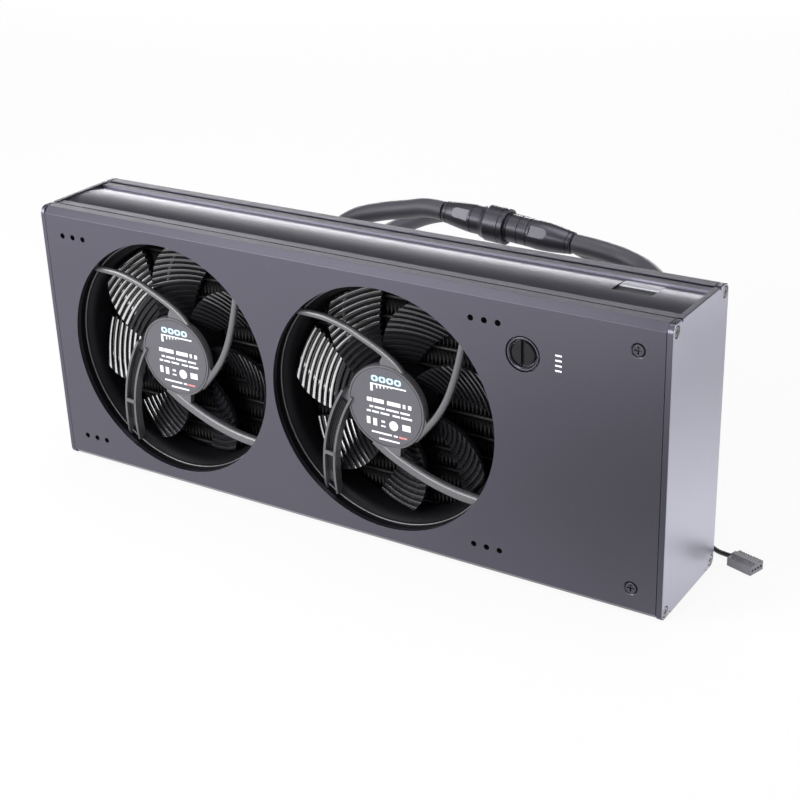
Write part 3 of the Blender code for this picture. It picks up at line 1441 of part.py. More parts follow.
def make_fill_port():
    """The ring in the front panel and the slotted plug with its seal."""
    place = (FILL_X, FRONT_Y, FILL_Z)
    ring_end = -(PANEL_WALL - FIT_GAP) + FIT_GAP
    ring = [
        (FILL_RING_BORE, -FIT_GAP),
        (FILL_RING_BORE + FIT_GAP, 0),
        (FILL_RING_RADIUS, 0),
        (FILL_RING_RADIUS, ring_end),
        (FILL_RING_BORE, ring_end),
    ]
    turned("fill_ring", ring, ANODISED_DARK, place, TOWARDS_FRONT, 24)
    front = -FIT_GAP
    head_end = front - FILL_PLUG_HEAD
    plug_profile = [
        (0, front),
        (FILL_PLUG_RADIUS - FIT_GAP, front),
        (FILL_PLUG_RADIUS, front - FIT_GAP),
        (FILL_PLUG_RADIUS, head_end),
        (FILL_PLUG_SHANK_RADIUS, head_end),
        (FILL_PLUG_SHANK_RADIUS, -FILL_PLUG_LENGTH),
        (0, -FILL_PLUG_LENGTH),
    ]
    plug = turned("fill_plug", plug_profile, ANODISED_DARK, place, TOWARDS_FRONT, 20, False)
    slot = box(
        "fill_plug_slot",
        (
            FILL_X - FILL_SLOT_WIDTH / 2,
            FRONT_Y - PANEL_WALL,
            FILL_Z - 2 * FILL_PLUG_RADIUS,
        ),
        (
            FILL_X + FILL_SLOT_WIDTH / 2,
            FRONT_Y + FIT_GAP + FILL_SLOT_DEPTH,
            FILL_Z + 2 * FILL_PLUG_RADIUS,
        ),
        collection=CUTTERS,
    )
    boolean(plug, slot)
    seal_top = head_end - FIT_GAP
    seal_end = -PANEL_WALL
    seal = [
        (FILL_PLUG_SHANK_RADIUS + FIT_GAP, seal_top),
        (FILL_SEAL_RADIUS, seal_top),
        (FILL_SEAL_RADIUS, seal_end),
        (FILL_PLUG_SHANK_RADIUS + FIT_GAP, seal_end),
    ]
    turned("fill_seal", seal, RUBBER, place, TOWARDS_FRONT, 16)


# Pump


def make_pump():
    """The pump: motor can, seal, volute housing, impeller and its shaft."""
    make_pump_motor()
    make_volute()
    make_impeller()


def make_pump_motor():
    """The motor can, with a well for the impeller's magnet, and the seal on top of it."""
    top = MOTOR_HEIGHT
    profile = [
        (0, top - MOTOR_WELL_DEPTH),
        (MOTOR_WELL_RADIUS, top - MOTOR_WELL_DEPTH),
        (MOTOR_WELL_RADIUS, top),
        (MOTOR_RADIUS - PUMP_BEVEL, top),
        (MOTOR_RADIUS, top - PUMP_BEVEL),
        (MOTOR_RADIUS, PUMP_BEVEL),
        (MOTOR_RADIUS - PUMP_BEVEL, 0),
        (0, 0),
    ]
    place = (PUMP_X, PUMP_Y, PUMP_BOTTOM_Z)
    turned("pump_motor", profile, BLACK_PLASTIC, place, UPRIGHT, 24, False)
    seal_top = MOTOR_HEIGHT + FIT_GAP + PUMP_SEAL_HEIGHT
    seal = [
        (PUMP_SEAL_BORE, seal_top),
        (MOTOR_RADIUS - PUMP_BEVEL, seal_top),
        (MOTOR_RADIUS - PUMP_BEVEL, MOTOR_HEIGHT + FIT_GAP),
        (PUMP_SEAL_BORE, MOTOR_HEIGHT + FIT_GAP),
    ]
    turned("pump_seal", seal, RUBBER, place, UPRIGHT, 20)


def make_volute():
    """The volute housing, with its inlet on top and an upright outlet at its back."""
    ceiling = VOLUTE_CAVITY_HEIGHT
    profile = [
        (VOLUTE_INLET_RADIUS, VOLUTE_HEIGHT),
        (VOLUTE_RADIUS - PUMP_BEVEL, VOLUTE_HEIGHT),
        (VOLUTE_RADIUS, VOLUTE_HEIGHT - PUMP_BEVEL),
        (VOLUTE_RADIUS, 0),
        (VOLUTE_CAVITY_RADIUS, 0),
        (VOLUTE_CAVITY_RADIUS, ceiling),
        (VOLUTE_INLET_RADIUS, ceiling),
    ]
    place = (PUMP_X, PUMP_Y, VOLUTE_BOTTOM_Z)
    volute = turned("pump_volute", profile, BLACK_PLASTIC, place, UPRIGHT, 24)
    outlet = cylinder(
        "volute_outlet",
        NOZZLE_RADIUS,
        VOLUTE_BOTTOM_Z + PUMP_BEVEL,
        VOLUTE_TOP_Z + NOZZLE_RISE,
        UPRIGHT,
        (SUPPLY_X, NOZZLE_Y, 0),
        sides=16,
    )
    outlet_bore = cylinder(
        "volute_outlet_bore",
        SUPPLY_PIPE_RADIUS + FIT_GAP,
        VOLUTE_TOP_Z,
        VOLUTE_TOP_Z + 2 * NOZZLE_RISE,
        UPRIGHT,
        (SUPPLY_X, NOZZLE_Y, 0),
        sides=16,
    )
    passage_bottom = VOLUTE_BOTTOM_Z + VOLUTE_CAVITY_HEIGHT / 2
    down = cylinder(
        "volute_down_bore",
        SUPPLY_PIPE_BORE,
        passage_bottom - SUPPLY_PIPE_BORE,
        VOLUTE_TOP_Z + NOZZLE_RISE,
        UPRIGHT,
        (SUPPLY_X, NOZZLE_Y, 0),
        sides=12,
    )
    reach = Vector((PUMP_X - SUPPLY_X, PUMP_Y - NOZZLE_Y, 0))
    turn = Vector((0, 0, 1)).rotation_difference(reach.normalized()).to_matrix()
    across = cylinder(
        "volute_cross_bore",
        SUPPLY_PIPE_BORE * 0.8,
        0,
        reach.length - VOLUTE_CAVITY_RADIUS / 2,
        turn,
        (SUPPLY_X, NOZZLE_Y, passage_bottom),
        sides=12,
    )
    boolean(volute, outlet, "UNION")
    boolean(volute, outlet_bore)
    boolean(volute, down)
    boolean(volute, across)


def make_impeller():
    """The impeller: a disc with six curved vanes on a magnet stem, turning on a ceramic shaft."""
    bore = PUMP_SHAFT_RADIUS + FIT_GAP
    bottom = VOLUTE_BOTTOM_Z + IMPELLER_RUN_GAP
    place = (PUMP_X, PUMP_Y, bottom)
    hub_top = IMPELLER_DISC + IMPELLER_VANE_HEIGHT * 0.7
    profile = [
        (bore, hub_top),
        (2.4 * bore, hub_top),
        (2.4 * bore, IMPELLER_DISC),
        (IMPELLER_RADIUS, IMPELLER_DISC),
        (IMPELLER_RADIUS, 0),
        (IMPELLER_STEM_RADIUS, 0),
        (IMPELLER_STEM_RADIUS, -IMPELLER_STEM_LENGTH),
        (bore, -IMPELLER_STEM_LENGTH),
    ]
    impeller = turned("pump_impeller", profile, BLACK_PLASTIC, place, UPRIGHT, 20)
    half = IMPELLER_VANE_WIDTH / 2
    section = [
        (half, IMPELLER_DISC / 2),
        (half, IMPELLER_DISC + IMPELLER_VANE_HEIGHT),
        (-half, IMPELLER_DISC + IMPELLER_VANE_HEIGHT),
        (-half, IMPELLER_DISC / 2),
    ]
    for number in range(IMPELLER_VANE_COUNT):
        first = 360 * number / IMPELLER_VANE_COUNT
        line = bent_line(
            first,
            IMPELLER_EYE_RADIUS,
            first + 55,
            IMPELLER_RADIUS - half,
            IMPELLER_RADIUS,
            3,
        )
        vane = swept(f"vane_{number}", line, section, None, place, UPRIGHT, CUTTERS)
        boolean(impeller, vane, "UNION")
    well_floor = PUMP_BOTTOM_Z + MOTOR_HEIGHT - MOTOR_WELL_DEPTH + FIT_GAP
    shaft = [
        (0, PUMP_SHAFT_LENGTH),
        (PUMP_SHAFT_RADIUS, PUMP_SHAFT_LENGTH),
        (PUMP_SHAFT_RADIUS, 0),
        (0, 0),
    ]
    turned("pump_shaft", shaft, CERAMIC, (PUMP_X, PUMP_Y, well_floor), UPRIGHT, 10, False)


def make_pipes():
    """The inlet pipe from the reservoir and the supply pipe with its elbow block."""
    seat = PIPE_SEAT
    inlet_top = RESERVOIR_BOTTOM_Z + RESERVOIR_WALL
    inlet = [
        (INLET_PIPE_BORE, inlet_top),
        (INLET_PIPE_RADIUS, inlet_top),
        (INLET_PIPE_RADIUS, VOLUTE_TOP_Z - seat),
        (INLET_PIPE_BORE, VOLUTE_TOP_Z - seat),
    ]
    turned("inlet_pipe", inlet, BLACK_PLASTIC, (PUMP_X, PUMP_Y, 0), UPRIGHT, 14)
    half = SUPPLY_BLOCK_WIDTH / 2
    low = SUPPLY_Z - SUPPLY_BLOCK_HEIGHT / 2
    pipe = box(
        "supply_pipe",
        (SUPPLY_X - half, SUPPLY_BLOCK_FRONT_Y, low),
        (SUPPLY_X + half, REAR_INNER_Y - 2 * FIT_GAP, low + SUPPLY_BLOCK_HEIGHT),
        BLACK_PLASTIC,
    )
    place = (SUPPLY_X, NOZZLE_Y, 0)
    foot = VOLUTE_TOP_Z + FIT_GAP
    stem = cylinder(
        "supply_stem", SUPPLY_PIPE_RADIUS, foot, SUPPLY_Z, UPRIGHT, place, sides=16
    )
    bore = cylinder(
        "supply_bore", SUPPLY_PIPE_BORE, foot - seat, SUPPLY_Z + seat, UPRIGHT, place, sides=12
    )
    cross = cylinder(
        "supply_cross_bore",
        SUPPLY_PIPE_BORE,
        NOZZLE_Y,
        BACK_Y,
        TOWARDS_BACK,
        (SUPPLY_X, 0, SUPPLY_Z),
        sides=12,
    )
    port = cylinder(
        "supply_port",
        FITTING_NECK_RADIUS + FIT_GAP,
        FITTING_INNER_END_Y - FIT_GAP,
        BACK_Y,
        TOWARDS_BACK,
        (SUPPLY_X, 0, SUPPLY_Z),
        sides=16,
    )
    boolean(pipe, stem, "UNION")
    boolean(pipe, bore)
    boolean(pipe, cross)
    boolean(pipe, port)


def make_bracket():
    """The upright bracket behind the front panel, with the clamp ring about the pump's motor."""
    front = FAN_FRONT_Y
    low = CENTRE_Z - PANEL_SCREW_HALF_SPACING - BRACKET_END_MARGIN
    high = CENTRE_Z + PANEL_SCREW_HALF_SPACING + BRACKET_END_MARGIN
    start = PANEL_SCREW_X - BRACKET_WIDTH / 2
    bracket = box(
        "pump_bracket",
        (start, front, low),
        (start + BRACKET_WIDTH, front + BRACKET_WALL, high),
        ANODISED_DARK,
    )
    web = box(
        "bracket_web",
        (start, front + BRACKET_WALL / 2, CLAMP_BOTTOM_Z),
        (start + BRACKET_WIDTH / 2, PUMP_Y - MOTOR_RADIUS * 0.7, CLAMP_BOTTOM_Z + CLAMP_HEIGHT),
        collection=CUTTERS,
    )
    ring = cylinder(
        "clamp_ring",
        CLAMP_RADIUS,
        CLAMP_BOTTOM_Z,
        CLAMP_BOTTOM_Z + CLAMP_HEIGHT,
        UPRIGHT,
        (PUMP_X, PUMP_Y, 0),
        sides=24,
    )
    motor_space = cylinder(
        "clamp_bore",
        MOTOR_RADIUS + FIT_GAP,
        0,
        CASE_HEIGHT / 2,
        UPRIGHT,
        (PUMP_X, PUMP_Y, 0),
        sides=24,
    )
    boolean(bracket, web, "UNION")
    boolean(bracket, ring, "UNION")
    boolean(bracket, motor_space)
    for side in (-1, 1):
        bore = cylinder(
            f"bracket_bore_{side}",
            PANEL_SCREW_RADIUS + FIT_GAP,
            -2 * PANEL_SCREW_LENGTH,
            2 * PANEL_SCREW_LENGTH,
            TOWARDS_BACK,
            (PANEL_SCREW_X, FRONT_Y, CENTRE_Z + side * PANEL_SCREW_HALF_SPACING),
            sides=8,
        )
        boolean(bracket, bore)


# Hose fittings, hoses and coupling


def make_fitting(name, x, z):
    """A hose fitting: neck through the rear panel, flange and the nut that holds the hose."""
    face = FITTING_BASE_Y
    flange_end = face + FITTING_FLANGE_HEIGHT
    edge = 2 * FIT_GAP
    profile = [
        (FITTING_BORE, FITTING_END_Y),
        (FITTING_NUT_RADIUS - 2 * edge, FITTING_END_Y),
        (FITTING_NUT_RADIUS, FITTING_END_Y - 2 * edge),
        (FITTING_NUT_RADIUS, flange_end),
        (FITTING_FLANGE_RADIUS - edge, flange_end),
        (FITTING_FLANGE_RADIUS, flange_end - edge),
        (FITTING_FLANGE_RADIUS, face),
        (FITTING_NECK_RADIUS, face),
        (FITTING_NECK_RADIUS, FITTING_INNER_END_Y),
        (FITTING_BORE, FITTING_INNER_END_Y),
    ]
    turned(name, profile, COUPLING_BLACK, (x, 0, z), TOWARDS_BACK, 18)


def make_hoses():
    """The two rubber hoses: supply fitting to coupling, and coupling to return fitting."""
    for name, route in (("hose_short", SHORT_HOSE_ROUTE), ("hose_long", LONG_HOSE_ROUTE)):
        tube(name, smooth_route(route, HOSE_SPACING), HOSE_DIAMETER / 2, RUBBER)


def make_coupling():
    """The quick coupling in the hose: two halves with tapered ends and a locking collar."""
    left, right = Vector(COUPLING_LEFT), Vector(COUPLING_RIGHT)
    length = (right - left).length
    ahead = (right - left).normalized()
    side = Vector((0, 1, 0))
    axes = Matrix((side, ahead.cross(side), ahead)).transposed()
    split = COUPLING_SPLIT * length
    body, end = COUPLING_BODY_RADIUS, COUPLING_END_RADIUS
    left_half = [
        (COUPLING_BORE, split),
        (body, split),
        (body, length * 0.24),
        (body - COUPLING_STEP, length * 0.17),
        (end + COUPLING_STEP, length * 0.03),
        (end, 0),
        (COUPLING_BORE, 0),
    ]
    turned("coupling_half_left", left_half, COUPLING_BLACK, left, axes, 18)
    right_half = [
        (COUPLING_BORE, length),
        (end, length),
        (end + COUPLING_STEP, length * 0.97),
        (body - COUPLING_STEP, length * 0.84),
        (body, length * 0.74),
        (body - COUPLING_STEP, length * 0.60),
        (body - COUPLING_STEP, split + FIT_GAP),
        (COUPLING_BORE, split + FIT_GAP),
    ]
    turned("coupling_half_right", right_half, COUPLING_BLACK, left, axes, 18)
    start = COUPLING_COLLAR_START
    stop = start + COUPLING_COLLAR_LENGTH
    collar = [
        (body + FIT_GAP, stop),
        (COUPLING_COLLAR_RADIUS, stop),
        (COUPLING_COLLAR_RADIUS, start + COUPLING_COLLAR_TAPER),
        (body + COUPLING_COLLAR_LIP, start),
        (body + FIT_GAP, start),
    ]
    turned("coupling_collar", collar, COUPLING_BLACK, left, axes, 18)


# Control lead


def make_lead():
    """The control lead with its grommet in the rear panel and the plug at its far end."""
    outer = BACK_Y + FIT_GAP + GROMMET_FLANGE
    inner = REAR_INNER_Y - FIT_GAP
    profile = [
        (GROMMET_BORE, outer),
        (GROMMET_FLANGE_RADIUS - FIT_GAP, outer),
        (GROMMET_FLANGE_RADIUS, BACK_Y + FIT_GAP),
        (GROMMET_NECK_RADIUS, BACK_Y + FIT_GAP),
        (GROMMET_NECK_RADIUS, inner),
        (GROMMET_BORE, inner),
    ]
    turned("lead_grommet", profile, RUBBER, (GROMMET_X, 0, GROMMET_Z), TOWARDS_BACK, 12)
    tube("control_lead", smooth_route(LEAD_ROUTE, LEAD_SPACING), LEAD_DIAMETER / 2, CABLE_BLACK)
    make_plug()


def make_plug():
    """The four-way plug, with a key rib on top and square sockets in its end face."""
    turn = Matrix.Rotation(math.radians(PLUG_TURN), 3, "Z")
    half_width, half_height = PLUG_WIDTH / 2, PLUG_HEIGHT / 2
    rib = PLUG_RIB_WIDTH / 2
    low_top = half_height - PLUG_RIB_HEIGHT
    outline = [
        (-half_width, -half_height),
        (half_width, -half_height),
        (half_width, low_top),
        (rib, low_top),
        (rib, half_height),
        (-rib, half_height),
        (-rib, low_top),
        (-half_width, low_top),
    ]
    axes = turn @ ALONG_X
    plug = raised(
        "lead_plug", outline, FIT_GAP, FIT_GAP + PLUG_LENGTH, PLUG_GREY, PLUG_START, axes
    )
    for number in range(PLUG_SOCKET_COUNT):
        across = (number - (PLUG_SOCKET_COUNT - 1) / 2) * PLUG_SOCKET_PITCH
        half = PLUG_SOCKET_SIZE / 2
        middle = (low_top - half_height) / 2
        square = [
            (across - half, middle - half),
            (across + half, middle - half),
            (across + half, middle + half),
            (across - half, middle + half),
        ]
        socket = raised(
            f"plug_socket_{number}",
            square,
            FIT_GAP + PLUG_LENGTH - PLUG_SOCKET_DEPTH,
            FIT_GAP + 2 * PLUG_LENGTH,
            location=PLUG_START,
            axes=axes,
            collection=CUTTERS,
        )
        boolean(plug, socket)


def main():
    """Model every piece of the cooler."""
    make_front_panel()
    make_rear_panel()
    make_top_cover()
    make_bottom_cover()
    make_end_plates()
    make_panel_screws()
    for name, x, turn in zip(("left_fan", "right_fan"), FAN_CENTRES_X, ROTOR_ANGLES):
        make_fan(name, x, turn)
    make_radiator()
    make_reservoir()
    make_fill_port()
    make_pump()
    make_pipes()
    make_bracket()
    make_fitting("supply_fitting", SUPPLY_X, SUPPLY_Z)
    make_fitting("return_fitting", RETURN_X, RETURN_Z)
    make_hoses()
    make_coupling()
    make_lead()


if __name__ == "__main__":
    main()
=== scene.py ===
"""Looks of the external liquid cooler: its finishes, cords and light, and the pieces that are
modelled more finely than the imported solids.

Everything is in metres in the part's own frame: X along the case, +Y to its back, +Z up.
"""

import json
import logging
import math
from collections.abc import Iterable, Sequence
from dataclasses import dataclass, replace
from enum import Enum

import bmesh
import bpy
from mathutils import Matrix, Vector

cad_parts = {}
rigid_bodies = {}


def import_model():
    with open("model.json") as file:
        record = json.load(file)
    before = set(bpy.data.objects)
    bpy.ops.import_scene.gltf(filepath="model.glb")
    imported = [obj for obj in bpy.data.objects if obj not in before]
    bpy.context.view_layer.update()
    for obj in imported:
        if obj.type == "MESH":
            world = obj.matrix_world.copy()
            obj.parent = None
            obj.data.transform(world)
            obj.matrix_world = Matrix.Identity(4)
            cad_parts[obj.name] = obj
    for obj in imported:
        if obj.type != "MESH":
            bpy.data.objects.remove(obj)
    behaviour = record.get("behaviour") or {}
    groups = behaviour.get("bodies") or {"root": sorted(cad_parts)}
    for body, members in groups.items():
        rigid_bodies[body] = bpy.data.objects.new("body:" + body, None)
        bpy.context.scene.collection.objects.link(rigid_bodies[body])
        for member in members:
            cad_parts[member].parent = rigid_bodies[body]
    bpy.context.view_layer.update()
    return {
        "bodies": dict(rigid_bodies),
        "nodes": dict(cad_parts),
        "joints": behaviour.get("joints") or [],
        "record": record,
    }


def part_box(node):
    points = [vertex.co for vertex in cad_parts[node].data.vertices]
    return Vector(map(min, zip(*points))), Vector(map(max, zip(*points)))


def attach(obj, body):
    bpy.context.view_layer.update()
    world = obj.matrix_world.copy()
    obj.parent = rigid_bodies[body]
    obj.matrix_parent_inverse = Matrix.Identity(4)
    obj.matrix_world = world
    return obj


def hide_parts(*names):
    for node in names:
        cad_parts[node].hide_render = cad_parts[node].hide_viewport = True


LOG = logging.getLogger("cooler_looks")

Pair = tuple[float, float]
Place = tuple[float, float, float]
Colour = tuple[float, float, float]
Feeds = dict[str | int, object]

FIT_GAP = 0.0003
# How far a cutter goes into a panel, and how far it stands out of the face that it cuts
CUT_REACH = 0.006
CUT_PAST = 0.001
CASE = "case"
ROTOR_TURNS = {"left_fan": 19.5, "right_fan": 50.0}


# Drawing directions


class Facing(Enum):
    """Where a flat drawing's x, its y and the way it is raised point in the part."""

    TO_RIGHT = ((0, 0, 1), (1, 0, 0), (0, 1, 0))
    TO_LEFT = ((0, 0, -1), (1, 0, 0), (0, -1, 0))
    TO_FRONT = ((1, 0, 0), (0, 0, -1), (0, 1, 0))
    TO_BACK = ((1, 0, 0), (0, 0, 1), (0, -1, 0))

    def at(self, place: Sequence[float]) -> Matrix:
        """The matrix that turns a drawing this way and puts its origin at a place."""
        return Matrix.Translation(place) @ Matrix(self.value).to_4x4()


# Shader parts that several finishes share


@dataclass
class Bench:
    """Adds nodes to one node tree and feeds their inputs."""

    tree: bpy.types.NodeTree

    def add(self, kind: str, feeds: Feeds | None = None, **settings: object) -> bpy.types.Node:
        """Add one node.

        Args:
            kind: Blender's name of the node type.
            feeds: What its inputs take, as in feed().
            **settings: Properties of the node.

        Returns:
            The new node.
        """
        node = self.tree.nodes.new(kind)
        for name, value in settings.items():
            setattr(node, name, value)
        self.feed(node, feeds or {})
        return node

    def feed(self, node: bpy.types.Node, feeds: Feeds) -> None:
        """Give a node's inputs what they take.

        Args:
            node: The node.
            feeds: An input's name or number to its value, or to the output that is linked to it.
        """
        for label, value in feeds.items():
            if isinstance(value, bpy.types.NodeSocket):
                self.tree.links.new(value, node.inputs[label])
            else:
                node.inputs[label].default_value = value

    def reckon(self, operation: str, *terms: object) -> bpy.types.NodeSocket:
        """Add one step of arithmetic and return its result."""
        node = self.add("ShaderNodeMath", dict(enumerate(terms)), operation=operation)
        return node.outputs["Value"]


def new_group(name: str, inputs: dict[str, object], outputs: Sequence[str]
              ) -> tuple[Bench, bpy.types.bpy_prop_collection, bpy.types.Node]:
    """Start a shader node group with named sockets.

    Args:
        name: The group's name.
        inputs: Socket name to its default: a number, three for a vector or four for a colour.
        outputs: Socket names: a colour where the name says so, and a number otherwise.

    Returns:
        A bench on the group's tree, the outputs of its first node, and its last node.
    """
    tree = bpy.data.node_groups.new(name, "ShaderNodeTree")
    for label, value in inputs.items():
        size = len(value) if isinstance(value, tuple) else 1
        kind = {1: "NodeSocketFloat", 3: "NodeSocketVector", 4: "NodeSocketColor"}[size]
        socket = tree.interface.new_socket(label, in_out="INPUT", socket_type=kind)
        socket.default_value = value
    for label in outputs:
        kind = "NodeSocketColor" if label == "Colour" else "NodeSocketFloat"
        tree.interface.new_socket(label, in_out="OUTPUT", socket_type=kind)
    bench = Bench(tree)
    return bench, bench.add("NodeGroupInput").outputs, bench.add("NodeGroupOutput")


# Defaults of the groups' inputs
NO_PLACE = (0.0, 0.0, 0.0)
DARK = (0.1, 0.1, 0.1, 1.0)


def make_grain_group() -> bpy.types.NodeTree:
    """Fine grain of a blasted, moulded or brushed surface, as a height and a roughness.

    Returns:
        The group.
    """
    bench, given, last = new_group(
        "fine grain",
        {"Vector": NO_PLACE, "Scale": (1000.0, 1000.0, 1000.0), "Low": 0.4, "High": 0.5},
        ("Height", "Roughness"),
    )
    stretch = bench.add(
        "ShaderNodeVectorMath", {0: given["Vector"], 1: given["Scale"]}, operation="MULTIPLY"
    )
    fine = bench.add(
        "ShaderNodeTexNoise",
        {"Vector": stretch.outputs["Vector"], "Scale": 1.0, "Detail": 3.0, "Roughness": 0.6},
    ).outputs["Fac"]
    spread = bench.add(
        "ShaderNodeMapRange",
        {
            "Value": fine, "From Min": 0.3, "From Max": 0.7,
            "To Min": given["Low"], "To Max": given["High"],
        },
    )
    bench.feed(last, {"Height": fine, "Roughness": spread.outputs["Result"]})
    return bench.tree


def make_drift_group() -> bpy.types.NodeTree:
    """Slow drift between two near colours, with fine mottling over it.

    Returns:
        The group.
    """
    bench, given, last = new_group(
        "colour drift",
        {
            "Vector": NO_PLACE, "Colour": DARK, "Second Colour": DARK,
            "Patch Scale": 12.0, "Mottle Scale": 900.0,
        },
        ("Colour",),
    )
    patches, mottle = (
        bench.add(
            "ShaderNodeTexNoise", {"Vector": given["Vector"], "Scale": given[label]}
        ).outputs["Fac"]
        for label in ("Patch Scale", "Mottle Scale")
    )
    both = bench.reckon("MULTIPLY_ADD", mottle, 0.4, bench.reckon("SUBTRACT", patches, 0.2))
    blend = bench.add(
        "ShaderNodeMix", {"Factor": both, 6: given["Colour"], 7: given["Second Colour"]},
        data_type="RGBA",
    )
    bench.feed(last, {"Colour": blend.outputs[2]})
    return bench.tree


def make_dust_group() -> bpy.types.NodeTree:
    """Sparse specks of dust, as a mask laid over a colour.

    Returns:
        The group.
    """
    bench, given, last = new_group(
        "dust specks",
        {
            "Vector": NO_PLACE, "Colour": DARK, "Dust Colour": (0.3, 0.3, 0.32, 1.0),
            "Scale": 160.0, "Size": 0.06, "Amount": 0.3,
        },
        ("Colour", "Mask"),
    )
    cells = bench.add(
        "ShaderNodeTexVoronoi", {"Vector": given["Vector"], "Scale": given["Scale"]}
    ).outputs
    pick = bench.add("ShaderNodeSeparateColor", {"Color": cells["Color"]})
    near = bench.reckon("LESS_THAN", cells["Distance"], given["Size"])
    chosen = bench.reckon("GREATER_THAN", pick.outputs["Red"], 0.86)
    mask = bench.reckon("MULTIPLY", bench.reckon("MULTIPLY", near, chosen), given["Amount"])
    blend = bench.add(
        "ShaderNodeMix", {"Factor": mask, 6: given["Colour"], 7: given["Dust Colour"]},
        data_type="RGBA",
    )
    bench.feed(last, {"Colour": blend.outputs[2], "Mask": mask})
    return bench.tree


GRAIN_GROUP = make_grain_group()
DRIFT_GROUP = make_drift_group()
DUST_GROUP = make_dust_group()


class Grain(Enum):
    """The surface texture of a finish: how fine it is along X, Y and Z, and its depth in metres."""

    BLASTED = ((2600.0, 2600.0, 2600.0), 0.000020)
    MOULDED = ((1400.0, 1400.0, 1400.0), 0.000030)
    POLISHED = ((300.0, 300.0, 300.0), 0.000004)
    TURNED = ((500.0, 4000.0, 500.0), 0.000010)
    BRUSHED_UPRIGHT = ((2600.0, 2600.0, 60.0), 0.000012)
    RUBBERY = ((1900.0, 1900.0, 1900.0), 0.000035)
    FOAMED = ((900.0, 900.0, 900.0), 0.000300)
    WOUND = ((120.0, 2200.0, 2200.0), 0.000120)


@dataclass(frozen=True)
class Finish:
    """One surface finish: colours, gloss and grain of a material.

    Attributes:
        name: The material's name.
        slot: The record's material slot.
        colour: The colour that its slow drift starts from.
        second: The colour that it drifts to.
        roughness: Least and most roughness over the grain.
        metallic: Share of metal.
        grain: The texture of its surface.
        patch_scale: How fine the drift's patches are.
        dust: How strongly specks of dust show.
        coat: Weight of a clear coat.
        coat_roughness: The coat's roughness.
        specular: Strength of the surface's gloss.
        sheen: Weight of the soft sheen at grazing angles.
        transmission: How much light goes through.
        ridged: Whether painted shade takes the gloss out of the grooves, by the mesh's "rise"
            values.
    """

    name: str
    slot: str
    colour: Colour
    second: Colour
    roughness: Pair
    metallic: float = 0.0
    grain: Grain = Grain.MOULDED
    patch_scale: float = 12.0
    dust: float = 0.0
    coat: float = 0.0
    coat_roughness: float = 0.1
    specular: float = 0.5
    sheen: float = 0.0
    transmission: float = 0.0
    ridged: bool = False

    def build(self) -> bpy.types.Material:
        """Make the material, or return it if it was made before.

        Returns:
            The finish as a procedural material.
        """
        if self.name in bpy.data.materials:
            return bpy.data.materials[self.name]
        made = bpy.data.materials.new(self.name)
        made.use_nodes = True
        bench = Bench(made.node_tree)
        shader = made.node_tree.nodes["Principled BSDF"]
        where = bench.add("ShaderNodeTexCoord").outputs["Object"]
        texture, depth = self.grain.value
        low, high = self.roughness
        grain = bench.add(
            "ShaderNodeGroup", {"Vector": where, "Scale": texture, "Low": low, "High": high},
            node_tree=GRAIN_GROUP,
        ).outputs
        bump = bench.add(
            "ShaderNodeBump", {"Distance": depth, "Strength": 1.0, "Height": grain["Height"]}
        )
        bench.feed(shader, {
            "Base Color": self.tint(bench, where),
            "Roughness": grain["Roughness"],
            "Normal": bump.outputs["Normal"],
            "Metallic": self.metallic,
            "Coat Weight": self.coat,
            "Coat Roughness": self.coat_roughness,
            "Specular IOR Level": self.specular,
            "Sheen Weight": self.sheen,
            "Transmission Weight": self.transmission,
        })
        if self.ridged:
            self.paint_groove_shade(bench, shader)
        return made

    def paint_groove_shade(self, bench: Bench, shader: bpy.types.Node) -> None:
        """Paint shade into the grooves between ridges: their gloss fades by the mesh's own height
        values.

        Args:
            bench: The bench on the material's tree.
            shader: Its surface shader.
        """
        rise = bench.add("ShaderNodeAttribute", attribute_name="rise").outputs["Fac"]
        spread = bench.add(
            "ShaderNodeMapRange", {"Value": rise, "From Min": 0.55, "From Max": 0.95}
        )
        share = spread.outputs["Result"]
        # Painted shade: gloss and coat drop where the height is low, in the grooves.
        for label, most in (("Coat Weight", self.coat), ("Specular IOR Level", self.specular)):
            gloss = bench.reckon("MULTIPLY_ADD", share, most * 0.95, most * 0.05)
            bench.feed(shader, {label: gloss})

    def tint(self, bench: Bench, where: bpy.types.NodeSocket) -> bpy.types.NodeSocket:
        """Build the finish's colour: a slow drift, and dust over it where it has any.

        Args:
            bench: The bench on the material's tree.
            where: The socket that gives the place on the piece.

        Returns:
            The socket that gives the colour.
        """
        drift = bench.add(
            "ShaderNodeGroup",
            {
                "Vector": where, "Colour": (*self.colour, 1.0),
                "Second Colour": (*self.second, 1.0), "Patch Scale": self.patch_scale,
            },
            node_tree=DRIFT_GROUP,
        ).outputs["Colour"]
        if self.dust == 0.0:
            return drift
        specks = bench.add(
            "ShaderNodeGroup", {"Vector": where, "Colour": drift, "Amount": self.dust},
            node_tree=DUST_GROUP,
        )
        return specks.outputs["Colour"]


CASE_ANODISED = Finish(
    "case anodised", "anodised_dark", (0.112, 0.108, 0.136), (0.128, 0.124, 0.155),
    (0.28, 0.34), 0.9, Grain.BLASTED, dust=0.2,
)
# Painted light: a lighter copy of the case's dark anodising, standing in for the light from the
# right on the end plates' outer faces.
LIT_PLATE_ANODISED = Finish(
    "plate anodised painted light", "anodised_light", (0.51, 0.51, 0.60), (0.55, 0.55, 0.64),
    (0.34, 0.42), 0.9, Grain.BRUSHED_UPRIGHT,
)
SCREW_METAL = Finish(
    "screw metal", "screw_steel", (0.42, 0.42, 0.44), (0.50, 0.50, 0.52),
    (0.22, 0.34), 1.0, Grain.TURNED,
)
BLACK_SCREW = Finish(
    "black screw", "black_screw", (0.080, 0.077, 0.096), (0.096, 0.093, 0.114),
    (0.22, 0.34), 0.7, Grain.TURNED,
)
